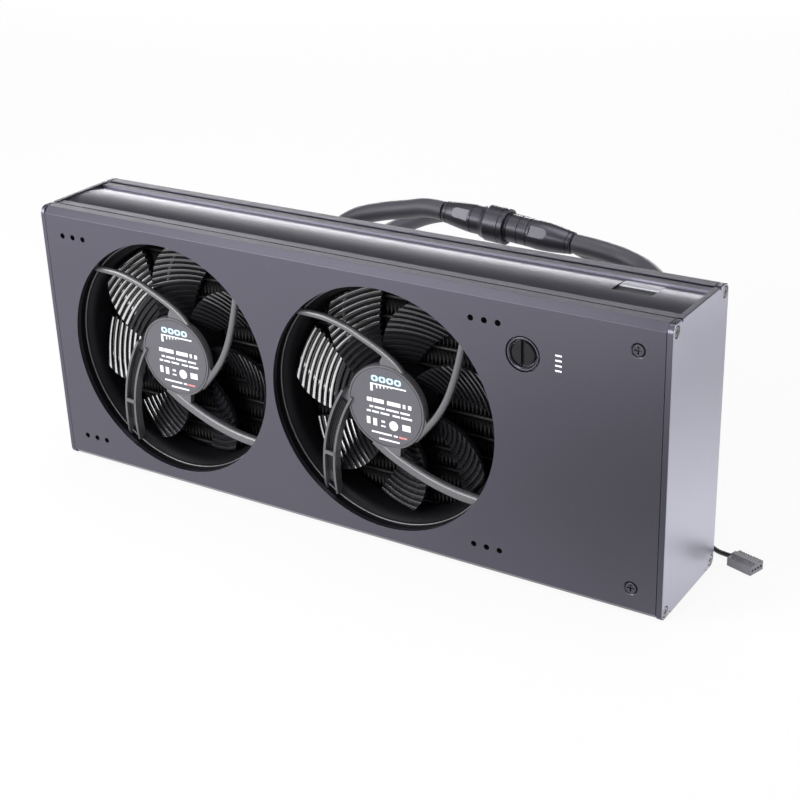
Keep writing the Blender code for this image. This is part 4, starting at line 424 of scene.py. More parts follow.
# Painted shade: the fan plastic drawn darker than black plastic, for the shade inside the duct.
SHADED_FAN_BLACK = Finish(
    "fan frame black painted shade", "fan_plastic", (0.005, 0.005, 0.006), (0.008, 0.008, 0.010),
    (0.34, 0.44), dust=0.1, specular=0.16,
)
ROTOR_BLACK = Finish(
    "rotor black", "rotor_plastic", (0.012, 0.012, 0.014), (0.018, 0.018, 0.021),
    (0.20, 0.26), 0.0, Grain.POLISHED, specular=1.0, coat=1.0, coat_roughness=0.16, ridged=True,
)
LABEL_GREY = Finish(
    "label grey", "label_foil", (0.092, 0.090, 0.106), (0.108, 0.106, 0.122),
    (0.42, 0.50), 0.2,
)
PRINT_WHITE = Finish(
    "print white", "label_foil", (0.78, 0.79, 0.82), (0.86, 0.87, 0.90), (0.5, 0.6),
)
PRINT_BLUE = Finish("print blue", "label_foil", (0.45, 0.68, 0.84), (0.60, 0.80, 0.92), (0.5, 0.6))
PRINT_RED = Finish("print red", "label_foil", (0.62, 0.20, 0.18), (0.72, 0.26, 0.24), (0.5, 0.6))
SHAFT_STEEL = Finish(
    "shaft steel", "shaft_steel", (0.52, 0.52, 0.54), (0.60, 0.60, 0.62),
    (0.14, 0.22), 1.0, Grain.TURNED,
)
BRASS = Finish(
    "bearing brass", "brass", (0.56, 0.40, 0.16), (0.64, 0.47, 0.20),
    (0.28, 0.38), 1.0, Grain.TURNED,
)
COPPER = Finish(
    "winding copper", "copper", (0.46, 0.20, 0.09), (0.58, 0.28, 0.13),
    (0.30, 0.45), 0.8, Grain.WOUND,
)
MAGNET_BLACK = Finish(
    "magnet black", "magnet_black", (0.020, 0.020, 0.021), (0.030, 0.030, 0.031),
    (0.55, 0.70), 0.1,
)
RADIATOR_BLACK = Finish(
    "radiator black", "radiator_black", (0.006, 0.006, 0.007), (0.010, 0.010, 0.011),
    (0.40, 0.50), specular=0.3,
)
FOAM = Finish(
    "gasket foam", "foam", (0.016, 0.016, 0.017), (0.026, 0.026, 0.027),
    (0.90, 1.0), 0.0, Grain.FOAMED, specular=0.2,
)
MILKY_PLASTIC = Finish(
    "reservoir plastic", "clear_plastic", (0.42, 0.44, 0.47), (0.50, 0.52, 0.55),
    (0.12, 0.20), 0.0, Grain.POLISHED, transmission=0.5,
)
SATIN_BLACK = Finish(
    "satin black plastic", "black_plastic", (0.020, 0.020, 0.023), (0.028, 0.028, 0.032),
    (0.34, 0.44), specular=0.2,
)
# Painted reflection: the pane of the gloss black slot is given a light grey for the bright backdrop
# that it mirrors.
GLOSS_PANE_PAINTED_REFLECTION = Finish(
    "window pane painted reflection", "gloss_black", (0.64, 0.64, 0.70), (0.72, 0.72, 0.78),
    (0.10, 0.14), 0.3, Grain.POLISHED, coat=1.0, coat_roughness=0.03,
)
HOSE_RUBBER = Finish(
    "hose rubber", "rubber", (0.050, 0.048, 0.062), (0.064, 0.061, 0.078),
    (0.42, 0.54), 0.0, Grain.RUBBERY, patch_scale=30.0, dust=0.2, sheen=0.15,
)
# Rubber for the rubber parts, and near-black for the strips of painted shade in the gaps beside the
# covers.
RUBBER_AND_GAP_SHADE = Finish(
    "rubber and gap shade", "rubber", (0.006, 0.006, 0.007), (0.009, 0.009, 0.010),
    (0.55, 0.68), 0.0, Grain.RUBBERY,
)
COUPLING_BLACK = Finish(
    "coupling black", "coupling_black", (0.052, 0.050, 0.063), (0.068, 0.066, 0.081),
    (0.30, 0.40), 0.5, Grain.BLASTED,
)
CERAMIC = Finish(
    "shaft ceramic", "ceramic", (0.74, 0.74, 0.72), (0.80, 0.80, 0.78),
    (0.18, 0.26), 0.0, Grain.POLISHED, coat=0.3,
)
PLUG_GREY = Finish(
    "plug grey", "plug_grey", (0.20, 0.195, 0.215), (0.25, 0.245, 0.265), (0.40, 0.52),
)
CABLE_BLACK = Finish(
    "cable black", "cable_black", (0.012, 0.012, 0.014), (0.020, 0.020, 0.022),
    (0.34, 0.46), 0.0, Grain.RUBBERY,
)
# Painted highlight: a lighter copy of the coupling's black for a pad on each wrench flat, where the
# flat catches the light.
COUPLING_FLAT_HIGHLIGHT = Finish(
    "coupling flat painted highlight", "coupling_black", (0.140, 0.137, 0.156), (0.164, 0.160, 0.182),
    (0.26, 0.34), 0.6, Grain.BLASTED,
)
COLLAR_GREY = Finish(
    "collar grey", "coupling_black", (0.062, 0.060, 0.074), (0.078, 0.075, 0.092),
    (0.30, 0.38), 0.7, Grain.BLASTED,
)
MARK_WHITE = replace(PRINT_WHITE, name="mark white", slot="anodised_dark")
RING_DARK = Finish(
    "port ring", "anodised_dark", (0.016, 0.016, 0.019), (0.024, 0.024, 0.028),
    (0.25, 0.33), 0.6, Grain.BLASTED,
)
FIN_BLACK = replace(RADIATOR_BLACK, name="fin black", roughness=(0.45, 0.60))
# Painted light: the same fan plastic as the housing, drawn grey where the spider stands in the
# light before the dark duct.
LIT_SPIDER_GREY = Finish(
    "strut grey painted light", "fan_plastic", (0.070, 0.068, 0.076), (0.090, 0.088, 0.096),
    (0.30, 0.38), specular=0.9, coat=0.5, coat_roughness=0.25,
)

NODE_FINISHES = {
    finish.slot: finish
    for finish in (
        CASE_ANODISED, LIT_PLATE_ANODISED, SCREW_METAL, BLACK_SCREW, SHADED_FAN_BLACK, ROTOR_BLACK,
        LABEL_GREY, SHAFT_STEEL, BRASS, COPPER, MAGNET_BLACK, RADIATOR_BLACK, FOAM,
        MILKY_PLASTIC, SATIN_BLACK, GLOSS_PANE_PAINTED_REFLECTION, RUBBER_AND_GAP_SHADE, COUPLING_BLACK, CERAMIC,
        PLUG_GREY, CABLE_BLACK,
    )
}


def dress_nodes(frame: dict) -> None:
    """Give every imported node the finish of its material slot.
    """
    slots = {row["node"]: row["material_slot"] for row in frame["record"]["subparts"]}
    for name, node in frame["nodes"].items():
        node.data.materials.clear()
        node.data.materials.append(NODE_FINISHES[slots[name]].build())


# Mesh tools


def arc(centre: Pair, radius: float, start: float, end: float, steps: int) -> list[Pair]:
    """Points on a circle from one angle to another, in degrees."""
    turns = [math.radians(start + (end - start) * i / steps) for i in range(steps + 1)]
    return [(centre[0] + radius * math.cos(t), centre[1] + radius * math.sin(t)) for t in turns]


def rounded_rectangle(half_x: float, half_y: float, radius: float, steps: int = 8) -> list[Pair]:
    """The outline of a rectangle about the origin with round corners.

    Args:
        half_x: Half its width.
        half_y: Half its height.
        radius: Radius of a corner.
        steps: Steps round each corner.

    Returns:
        Its corners.
    """
    points: list[Pair] = []
    for side_x, side_y, start in ((1, 1, 0), (-1, 1, 90), (-1, -1, 180), (1, -1, 270)):
        centre = (side_x * (half_x - radius), side_y * (half_y - radius))
        points += arc(centre, radius, start, start + 90, steps)
    return points


def raised(outline: Sequence[Pair], low: float, high: float) -> bmesh.types.BMesh:
    """Raise a flat outline into a closed solid.

    Args:
        outline: Corners in the drawing plane.
        low: Where the solid starts.
        high: Where it ends.

    Returns:
        The solid's mesh.
    """
    shape = bmesh.new()
    face = shape.faces.new([shape.verts.new((x, y, low)) for x, y in outline])
    grown = bmesh.ops.extrude_face_region(shape, geom=[face])["geom"]
    top = [item for item in grown if isinstance(item, bmesh.types.BMVert)]
    bmesh.ops.translate(shape, vec=(0, 0, high - low), verts=top)
    bmesh.ops.recalc_face_normals(shape, faces=shape.faces)
    return shape


def block(low: Sequence[float], high: Sequence[float]) -> bmesh.types.BMesh:
    """A cuboid between two opposite corners.

    Args:
        low: The one corner.
        high: The other one.

    Returns:
        The solid's mesh.
    """
    low, high = Vector(low), Vector(high)
    shape = bmesh.new()
    bmesh.ops.create_cube(shape, size=1.0)
    bmesh.ops.scale(shape, vec=high - low, verts=shape.verts)
    bmesh.ops.translate(shape, vec=(low + high) / 2, verts=shape.verts)
    return shape


def turned(profile: Sequence[Pair], steps: int = 64, closed: bool = True) -> bmesh.types.BMesh:
    """Spin a profile about the third axis into a closed solid.

    Args:
        profile: Points of radius and height.
        steps: Sides of the full turn.
        closed: Whether the last point joins the first, as on a ring. Otherwise both ends lie
            on the axis.

    Returns:
        The solid's mesh.
    """
    shape = bmesh.new()
    verts = [shape.verts.new((radius, 0, height)) for radius, height in profile]
    edges = [shape.edges.new(pair) for pair in zip(verts, verts[1:])]
    if closed:
        edges.append(shape.edges.new((verts[-1], verts[0])))
    bmesh.ops.spin(
        shape, geom=verts + edges, cent=(0, 0, 0), axis=(0, 0, 1), dvec=(0, 0, 0),
        angle=math.tau, steps=steps, use_merge=True, use_duplicate=False,
    )
    bmesh.ops.remove_doubles(shape, verts=shape.verts, dist=0.00001)
    bmesh.ops.recalc_face_normals(shape, faces=shape.faces)
    return shape


def post(radius: float, low: float, high: float, sides: int) -> bmesh.types.BMesh:
    """A cylinder standing on the drawing plane between two heights.

    Args:
        radius: Its radius.
        low: Where it starts.
        high: Where it ends.
        sides: How many sides it has.

    Returns:
        The solid's mesh.
    """
    shape = bmesh.new()
    bmesh.ops.create_cone(
        shape, cap_ends=True, segments=sides, radius1=radius, radius2=radius, depth=high - low,
    )
    bmesh.ops.translate(shape, vec=(0, 0, (low + high) / 2), verts=shape.verts)
    return shape


def swept(steps: Sequence[Matrix], section: Sequence[Pair]) -> bmesh.types.BMesh:
    """Carry a closed section through a row of frames, with closed ends.

    Args:
        steps: One matrix for each station of the sweep.
        section: The section's corners in each frame's own plane.

    Returns:
        The solid's mesh.
    """
    shape = bmesh.new()
    face = shape.faces.new([shape.verts.new(steps[0] @ Vector((x, y, 0))) for x, y in section])
    for here, ahead in zip(steps, steps[1:]):
        grown = bmesh.ops.extrude_face_region(shape, geom=[face])["geom"]
        face = next(item for item in grown if isinstance(item, bmesh.types.BMFace))
        bmesh.ops.transform(shape, matrix=ahead @ here.inverted(), verts=face.verts)
    bmesh.ops.recalc_face_normals(shape, faces=shape.faces)
    return shape


def lofted(rings: Sequence[Sequence[Vector]]) -> bmesh.types.BMesh:
    """Join a row of closed rings, with as many points each, into a solid with closed ends.

    Args:
        rings: The rings in their order.

    Returns:
        The solid's mesh.
    """
    shape = bmesh.new()
    rows = [[shape.verts.new(point) for point in ring] for ring in rings]
    for here, ahead in zip(rows, rows[1:]):
        for i, vert in enumerate(here):
            j = (i + 1) % len(here)
            shape.faces.new((vert, here[j], ahead[j], ahead[i]))
    shape.faces.new(rows[0][::-1])
    shape.faces.new(rows[-1])
    bmesh.ops.recalc_face_normals(shape, faces=shape.faces)
    return shape


def gather(shapes: Iterable[bmesh.types.BMesh]) -> bmesh.types.BMesh:
    """Put several meshes, which don't touch one another, into one.

    Args:
        shapes: The meshes, which are freed.

    Returns:
        One new mesh.
    """
    whole = bmesh.new()
    for shape in shapes:
        mesh = bpy.data.meshes.new("part")
        shape.to_mesh(mesh)
        shape.free()
        whole.from_mesh(mesh)
        bpy.data.meshes.remove(mesh)
    return whole


def moved(shape: bmesh.types.BMesh, matrix: Matrix) -> bmesh.types.BMesh:
    """Turn and shift a mesh, and return it."""
    bmesh.ops.transform(shape, matrix=matrix, verts=shape.verts)
    return shape


class Cut(Enum):
    """How one closed mesh acts on another."""

    AWAY = "DIFFERENCE"
    TOGETHER = "UNION"


def combined(base: bmesh.types.BMesh, other: bmesh.types.BMesh, how: Cut) -> bmesh.types.BMesh:
    """Cut one closed mesh out of another, or join the two.

    Args:
        base: The mesh that stays.
        other: The mesh that cuts or joins.
        how: Which of the two is done.

    Returns:
        A new mesh. Both given ones are freed.
    """
    scene = bpy.context.scene.collection
    found = []
    for label, shape in (("base", base), ("other", other)):
        mesh = bpy.data.meshes.new(label)
        shape.to_mesh(mesh)
        shape.free()
        item = bpy.data.objects.new(label, mesh)
        scene.objects.link(item)
        found.append(item)
    step = found[0].modifiers.new("cut", "BOOLEAN")
    step.operation = how.value
    step.solver = "EXACT"
    step.object = found[1]
    graph = bpy.context.evaluated_depsgraph_get()
    result = found[0].evaluated_get(graph).to_mesh()
    shape = bmesh.new()
    shape.from_mesh(result)
    found[0].evaluated_get(graph).to_mesh_clear()
    for item in found:
        mesh = item.data
        bpy.data.objects.remove(item)
        bpy.data.meshes.remove(mesh)
    bmesh.ops.dissolve_degenerate(shape, dist=0.000001, edges=shape.edges)
    return shape


def front_middle(low: Vector, high: Vector) -> Place:
    """The middle of the front side of a box."""
    return ((low.x + high.x) / 2, low.y, (low.z + high.z) / 2)


@dataclass
class Rounding:
    """A bevel modifier that finishes a piece's sharp edges."""

    width: float = 0.0003
    segments: int = 2
    angle: float = 32.0

    def put_on(self, piece: bpy.types.Object) -> None:
        """Add the bevel to a piece.

        Args:
            piece: The piece.
        """
        step = piece.modifiers.new("rounding", "BEVEL")
        step.width = self.width
        step.segments = self.segments
        step.limit_method = "ANGLE"
        step.angle_limit = math.radians(self.angle)
        step.harden_normals = True


PRINT_EDGE = Rounding(0.0001, 1)
FINEST_EDGE = Rounding(0.0001, 2, 40.0)
FINE_EDGE = Rounding(0.00015, 2, 40.0)
COVER_EDGE = Rounding(0.0002, 2, 40.0)
PANEL_EDGE = Rounding(0.0003, 3, 40.0)


def make_piece(name: str, shape: bmesh.types.BMesh, finish: Finish,
               replaces: Sequence[str] = (), rounding: Rounding | None = None,
               smooth_angle: float = 32.0, body: str = CASE) -> bpy.types.Object:
    """Turn a mesh into a finished piece that rides on a body.

    Args:
        name: The piece's name.
        shape: Its mesh, in the part's frame. It is freed.
        finish: Its finish.
        replaces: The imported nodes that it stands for.
        rounding: The bevel on its edges, if any.
        smooth_angle: Edges that turn more than this many degrees stay sharp.
        body: The body that it moves with.

    Returns:
        The piece.
    """
    mesh = bpy.data.meshes.new(name)
    shape.to_mesh(mesh)
    shape.free()
    mesh.shade_smooth()
    mesh.set_sharp_from_angle(angle=math.radians(smooth_angle))
    mesh.materials.append(finish.build())
    piece = bpy.data.objects.new(name, mesh)
    bpy.context.scene.collection.objects.link(piece)
    if rounding is not None:
        rounding.put_on(piece)
    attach(piece, body)
    if replaces:
        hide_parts(*replaces)
    LOG.info("%s: %d faces", name, len(mesh.polygons))
    return piece


# Studio


WHITE = (1.0, 1.0, 1.0, 1.0)


@dataclass
class Studio:
    """The camera, the floor, the world and the lamps.

    Attributes:
        camera_place: Where the camera stands.
        camera_right: Which way its picture's right side points.
        camera_down: Which way its picture's foot points.
        camera_ahead: Which way it looks.
        lens: Its focal length in millimetres, on a sensor 36 mm wide.
        floor_half: Half the floor's side.
        dim_spots: Place, radius and least glow of the floor's darker spots in mirrored light, a
            painted shade that darkens what the object's glossy faces mirror.
        glow_share: Share of the glow in the floor's surface.
        sky: Height and colour of the two ends of the world's fade.
        lamps: Name, place, target, size and watts of each lamp.
    """

    camera_place: Place = (0.4469, -0.6448, 0.4244)
    camera_right: Place = (0.84417, 0.53509, -0.0326)
    camera_down: Place = (0.1992, -0.36955, -0.90761)
    camera_ahead: Place = (-0.4977, 0.75968, -0.41855)
    lens: float = 71.66
    floor_half: float = 6.0
    dim_spots: tuple[tuple[Place, float, float], ...] = (
        ((0.17, -0.22, 0.0), 0.32, 0.16), ((0.42, 0.32, 0.0), 0.36, 0.02),
    )
    glow_share: float = 0.90
    sky: tuple[tuple[float, Colour], ...] = (
        (0.03, (0.80, 0.80, 0.82)), (0.22, (0.16, 0.16, 0.17)),
    )
    lamps: tuple[tuple[str, Place, Place, Pair, float], ...] = (
        ("overhead", (0.1, 0.05, 1.6), (0.0, 0.0, 0.08), (1.2, 0.8), 12.0),
        ("upper left", (-0.85, -0.72, 1.30), (0.0, 0.0, 0.08), (0.9, 0.9), 5.0),
        ("low front left", (-0.60, -1.60, 0.52), (0.0, 0.0, 0.08), (2.2, 0.85), 36.0),
        ("high front left", (-1.35, -1.35, 0.98), (0.0, 0.0, 0.08), (0.8, 0.7), 11.0),
        ("behind", (-0.9, 1.9, 0.36), (0.0, 0.0, 0.08), (2.2, 0.26), 18.0),
        ("right side", (1.5, 0.7, 0.3), (0.15, 0.0, 0.08), (1.0, 0.8), 7.0),
        ("low right", (0.75, 0.40, 0.06), (0.20, 0.0, 0.03), (0.5, 0.1), 0.9),
    )

    def build(self) -> None:
        """Set up the view, the floor, the world and the lamps."""
        bpy.context.scene.view_settings.view_transform = "Standard"
        self.add_camera()
        self.add_floor()
        self.set_world()
        for lamp in self.lamps:
            self.add_lamp(*lamp)

    def add_camera(self) -> None:
        """The camera at the photograph's place."""
        data = bpy.data.cameras.new("camera")
        data.lens = self.lens
        data.sensor_width = 36.0
        data.clip_start = 0.01
        data.clip_end = 30.0
        camera = bpy.data.objects.new("camera", data)
        right, down, ahead = (
            Vector(v) for v in (self.camera_right, self.camera_down, self.camera_ahead)
        )
        turn = Matrix((right, -down, -ahead)).transposed().to_4x4()
        camera.matrix_world = Matrix.Translation(self.camera_place) @ turn
        bpy.context.scene.collection.objects.link(camera)
        bpy.context.scene.camera = camera

    def add_floor(self) -> None:
        """A white floor that keeps a faint shadow; in mirrored light its glow holds painted shade
        in a few dim spots.
        """
        shape = bmesh.new()
        bmesh.ops.create_grid(shape, x_segments=1, y_segments=1, size=self.floor_half)
        mesh = bpy.data.meshes.new("floor")
        shape.to_mesh(mesh)
        shape.free()
        floor = bpy.data.objects.new("floor", mesh)
        bpy.context.scene.collection.objects.link(floor)
        made = bpy.data.materials.new("floor white")
        made.use_nodes = True
        bench = Bench(made.node_tree)
        shader = made.node_tree.nodes["Principled BSDF"]
        bench.feed(shader, {
            "Base Color": (0.86, 0.86, 0.87, 1.0), "Roughness": 0.8, "Specular IOR Level": 0.1,
        })
        rays = bench.add("ShaderNodeLightPath").outputs
        where = bench.add("ShaderNodeTexCoord").outputs["Object"]
        bright = 1.0
        # Painted shade: in these spots the floor's glow in mirrored light drops, which darkens the
        # object's reflections of it.
        for spot, radius, least in self.dim_spots:
            apart = bench.add("ShaderNodeVectorMath", {0: where, 1: spot}, operation="DISTANCE")
            fall = bench.add(
                "ShaderNodeMapRange",
                {"Value": apart.outputs["Value"], "From Max": radius, "To Min": least},
                interpolation_type="SMOOTHSTEP",
            )
            bright = bench.reckon("MINIMUM", fall.outputs["Result"], bright)
        bright = bench.reckon("MAXIMUM", bright, rays["Is Camera Ray"])
        glow = bench.add("ShaderNodeEmission", {"Color": WHITE, "Strength": bright})
        seen = bench.reckon("MAXIMUM", rays["Is Camera Ray"], rays["Is Glossy Ray"])
        mix = bench.add("ShaderNodeMixShader", {
            "Fac": bench.reckon("MULTIPLY", seen, self.glow_share),
            1: shader.outputs["BSDF"], 2: glow.outputs["Emission"],
        })
        bench.feed(made.node_tree.nodes["Material Output"], {"Surface": mix.outputs["Shader"]})
        mesh.materials.append(made)

    def set_world(self) -> None:
        """A pale world: white where it is seen or mirrored low down, dimmer overhead."""
        world = bpy.data.worlds.new("studio")
        bpy.context.scene.world = world
        world.use_nodes = True
        bench = Bench(world.node_tree)
        white = world.node_tree.nodes["Background"]
        bench.feed(white, {"Color": WHITE})
        where = bench.add("ShaderNodeTexCoord").outputs["Generated"]
        apart = bench.add("ShaderNodeSeparateXYZ", {"Vector": where})
        ramp = bench.add("ShaderNodeValToRGB", {"Fac": apart.outputs["Z"]})
        for number, (position, shade) in enumerate(self.sky):
            ramp.color_ramp.elements[number].position = position
            ramp.color_ramp.elements[number].color = (*shade, 1.0)
        soft = bench.add("ShaderNodeBackground", {"Color": ramp.outputs["Color"], "Strength": 1.0})
        mix = bench.add("ShaderNodeMixShader", {
            "Fac": bench.add("ShaderNodeLightPath").outputs["Is Camera Ray"],
            1: soft.outputs["Background"], 2: white.outputs["Background"],
        })
        bench.feed(world.node_tree.nodes["World Output"], {"Surface": mix.outputs["Shader"]})

    def add_lamp(self, name: str, place: Place, target: Place, size: Pair, power: float) -> None:
        """Add a soft rectangular lamp.

        Args:
            name: The lamp's name.
            place: Where it stands.
            target: The point that it faces.
            size: Its width and height.
            power: Its power in watts.
        """
        data = bpy.data.lights.new(name, "AREA")
        data.shape = "RECTANGLE"
        data.size, data.size_y = size
        data.energy = power
        lamp = bpy.data.objects.new(name, data)
        towards = Vector(target) - Vector(place)
        lamp.matrix_world = (
            Matrix.Translation(place) @ towards.to_track_quat("-Z", "Y").to_matrix().to_4x4()
        )
        bpy.context.scene.collection.objects.link(lamp)


# Fans: each is drawn about its own axis, with heights measured back from its front plane


def bent_line(first_angle: float, first_radius: float, last_angle: float, last_radius: float,
              bend: float, steps: int) -> list[Vector]:
    """Points on an arc between two places about a fan's axis.

    Args:
        first_angle: Angle of the first place, in degrees.
        first_radius: Its distance from the axis.
        last_angle: Angle of the last place, in degrees.
        last_radius: Its distance from the axis.
        bend: Radius of the arc, whose centre lies to the left of the way.
        steps: Number of steps along the arc.

    Returns:
        The points in the drawing plane.
    """
    first, last = (
        Vector((math.cos(math.radians(angle)), math.sin(math.radians(angle)))) * radius
        for angle, radius in ((first_angle, first_radius), (last_angle, last_radius))
    )
    chord = last - first
    inward = Vector((-chord.y, chord.x)).normalized()
    centre = (first + last) / 2 + inward * math.sqrt(bend**2 - (chord.length / 2) ** 2)
    start = math.degrees(math.atan2(first.y - centre.y, first.x - centre.x))
    end = math.degrees(math.atan2(last.y - centre.y, last.x - centre.x))
    return [Vector(point) for point in arc(centre, bend, start, start + (end - start) % 360, steps)]


def flat_frames(line: Sequence[Vector]) -> list[Matrix]:
    """Frames along a line in the drawing plane: their x runs across it and their y is height.

    Args:
        line: The line's points.

    Returns:
        A frame for each point.
    """
    frames = []
    for i, point in enumerate(line):
        along = (line[min(i + 1, len(line) - 1)] - line[max(i - 1, 0)]).normalized()
        frames.append(Matrix((
            (-along.y, 0, along.x, point.x),
            (along.x, 0, along.y, point.y),
            (0, 1, 0, 0),
            (0, 0, 0, 1),
        )))
    return frames


# The label's print in millimetres: rows of bars as their middle height and thickness and each
# bar's left end and length, then single bars as middle, width and height
PRINT_ROWS = (
    (2.9, 2.3, ((-14.8, 3.2), (-11.0, 6.6), (-2.4, 8.2), (7.2, 1.6), (10.4, 2.0))),
    (-1.0, 1.1, ((-13.4, 2.4), (-10.2, 6.2), (-3.0, 7.6), (5.6, 5.6))),
    (-3.7, 1.1, ((-15.2, 2.6), (-11.8, 4.2), (-6.6, 5.4), (0.8, 4.4), (6.0, 6.6))),
)
PRINT_BARS = (
    (-1.4, 12.2, 21.8, 0.8), (-11.6, 9.9, 1.5, 3.8), (-14.3, -9.2, 2.2, 4.0),
    (-10.2, -9.5, 2.4, 4.2), (-5.2, -8.4, 2.2, 1.2), (-5.2, -11.0, 2.8, 0.9),
    (9.0, -9.2, 5.0, 3.4), (-6.4, -15.3, 12.4, 1.0), (2.2, -15.3, 2.4, 1.0),
    (-1.8, -18.6, 12.6, 1.0),
)
PRINT_RED_BAR = (6.7, -15.3, 5.0, 1.0)
PRINT_FRAMES = (-9.6, -4.9, -0.2, 4.5)


@dataclass
class Fan:
    """A fan: housing, struts, motor cup and its printed label, lead and rotor.

    The struts are drawn as points in the fan's plane. A web takes the number of a strut, how
    many of its first points it follows, and its own further points. The trough is given by the
    angles where it starts and ends and by the radius of its bend.
    """

    name: str
    turn: float
    flange: float = 0.004
    corner_radius: float = 0.006
    duct_outer: float = 0.0693
    duct_radius: float = 0.0635
    flare_radius: float = 0.0667
    flare_depth: float = 0.0105
    mouth_radius: float = 0.0685
    mouth_depth: float = 0.0034
    mouth_edge: float = 0.0006
    screw_hole: float = 0.0022
    screw_inset: float = 0.00775
    cup_radius: float = 0.0236
    cup_face: float = 0.0031
    cup_wall: float = 0.0016
    cup_depth: float = 0.0066
    label_radius: float = 0.0219
    label_thickness: float = 0.0003
    print_depth: float = 0.0001
    print_rise: float = 0.00004
    print_x: float = 0.0034
    strut_widths: Place = (0.0038, 0.0038, 0.0058)
    strut_front: float = 0.0012
    strut_edge: float = 0.0016
    strut_heights: Place = (0.0036, 0.0036, 0.0046)
    struts: tuple[tuple[Pair, ...], ...] = (
        (
            (0.0213, -0.0030), (0.0176, 0.0065), (0.0125, 0.0160), (0.0070, 0.0233),
            (0.0010, 0.0281), (-0.0060, 0.0322), (-0.0135, 0.0358), (-0.0230, 0.0400),
            (-0.0360, 0.0433), (-0.0525, 0.0442),
        ),
        (
            (0.0163, -0.0155), (0.0225, -0.0085), (0.0300, 0.0010), (0.0358, 0.0110),
            (0.0403, 0.0220), (0.0440, 0.0340), (0.0478, 0.0496),
        ),
        (
            (-0.0086, -0.0213), (-0.0010, -0.0262), (0.0080, -0.0305), (0.0180, -0.0343),
            (0.0290, -0.0375), (0.0410, -0.0398), (0.0553, -0.0412),
        ),
    )
    webs: tuple[tuple[int, int, tuple[Pair, ...]], ...] = (
        (0, 5, (
            (-0.0012, 0.0285), (-0.0030, 0.0252), (-0.0030, 0.0215), (0.0080, 0.0180),
            (0.0150, 0.0060),
        )),
        (2, 1, (
            (-0.0030, -0.0256), (0.0045, -0.0292), (0.0075, -0.0265), (0.0080, -0.0200),
            (0.0000, -0.0180),
        )),
        (1, 2, ((0.0247, -0.0060), (0.0236, -0.0020), (0.0190, -0.0040))),
    )
    web_drop: float = 0.0002
    pin: Pair = (0.0006, 0.00005)
    pin_place: Pair = (0.0009, 0.0252)
    trough: Place = (172.0, 238.5, 0.088)
    trough_width: float = 0.0078
    trough_wall: float = 0.0013
    trough_floor: float = 0.0014
    clip_place: float = 0.62
    clip_length: float = 0.0022
    clip_thickness: float = 0.0008
    tube_radius: float = 0.0058
    tube_bore: float = 0.0044
    tube_length: float = 0.0115
    wires: int = 4
    wire_width: float = 0.0011
    lead_margin: float = 0.003
    rotor_front: float = 0.0078
    rotor_back: float = 0.0236
    hub_radius: float = 0.0205
    hub_wall: float = 0.0014
    boss_radius: float = 0.0040
    boss_bore: float = 0.0018
    boss_length: float = 0.0033
    blades: int = 7
    blade_span: float = 36.0
    blade_sweep: float = 24.0
    blade_thickness: float = 0.0014
    front_margin: float = 0.0027
    back_margin: float = 0.0012
    tip_clearance: float = 0.0015
    tip_rounding: float = 0.12
    ridges: int = 13
    ridge_height: float = 0.0015
    tip_narrowing: float = 4.0
    ridge_share: float = 0.60
    rim_length: float = 0.0016
    chord_steps: int = 18

    def __post_init__(self) -> None:
        """Take the fan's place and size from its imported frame."""
        low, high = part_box(f"{self.name}_frame")
        self.half = (high.x - low.x) / 2
        self.depth = high.y - low.y
        self.place = Facing.TO_FRONT.at(front_middle(low, high))
        self.tip = (self.mouth_radius + self.duct_outer) / 2
        self.root = self.cup_radius - FIT_GAP

    def build(self) -> None:
        """Make every piece of the fan."""
        self.make_frame()
        self.make_label()
        self.make_lead()
        self.make_rotor()

    def make_frame(self) -> None:
        """The housing, and the spider before it: cup, struts, webs, trough, clip and ring."""
        spider = gather((
            self.make_cup(), *self.make_struts(), *self.make_webs(), self.make_trough(),
            self.make_clip(), self.make_mouth_ring(),
        ))
        make_piece(
            f"{self.name}_housing", moved(self.make_housing(), self.place), SHADED_FAN_BLACK,
            (f"{self.name}_frame",), smooth_angle=40,
        )
        # The spider gets the painted-light grey and the housing the painted-shade black of one
        # plastic.
        make_piece(f"{self.name}_spider", moved(spider, self.place), LIT_SPIDER_GREY, smooth_angle=40)

    def make_housing(self) -> bmesh.types.BMesh:
        """Two square flanges and the flared duct between them, with a step round its mouth.

        Returns:
            The solid's mesh.
        """
        outline = rounded_rectangle(self.half, self.half, self.corner_radius, 6)
        duct = post(self.duct_outer, -self.depth, 0, 96)
        front = raised(outline, -self.flange, 0)
        back = raised(outline, -self.depth, self.flange - self.depth)
        shape = combined(duct, gather((front, back)), Cut.TOGETHER)
        flare = self.flare_radius - self.duct_radius
        bore = [
            (0, self.flange), (self.mouth_radius, self.flange),
            (self.mouth_radius, -self.mouth_depth),
            *arc(
                (self.flare_radius + self.mouth_edge, -self.mouth_depth - self.mouth_edge),
                self.mouth_edge, 90, 180, 5,
            ),
        ]
        for step in range(1, 9):
            share = step / 8
            edge = self.mouth_depth + self.mouth_edge
            depth = edge + (self.flare_depth - edge) * share
            bore.append((self.duct_radius + flare * (1 - share) ** 2, -depth))
        bore += [
            (self.duct_radius, self.flare_depth / 3 - self.depth),
            (self.flare_radius, -self.depth), (self.flare_radius, -self.depth - self.flange),
            (0, -self.depth - self.flange),
        ]
        shape = combined(shape, turned(bore, 128, False), Cut.AWAY)
        reach = self.half - self.screw_inset
        holes = [
            moved(
                post(self.screw_hole, -self.depth - self.flange, self.flange, 24),
                Matrix.Translation((x * reach, y * reach, 0)),
            )
            for x in (-1, 1) for y in (-1, 1)
        ]
        return combined(shape, gather(holes), Cut.AWAY)

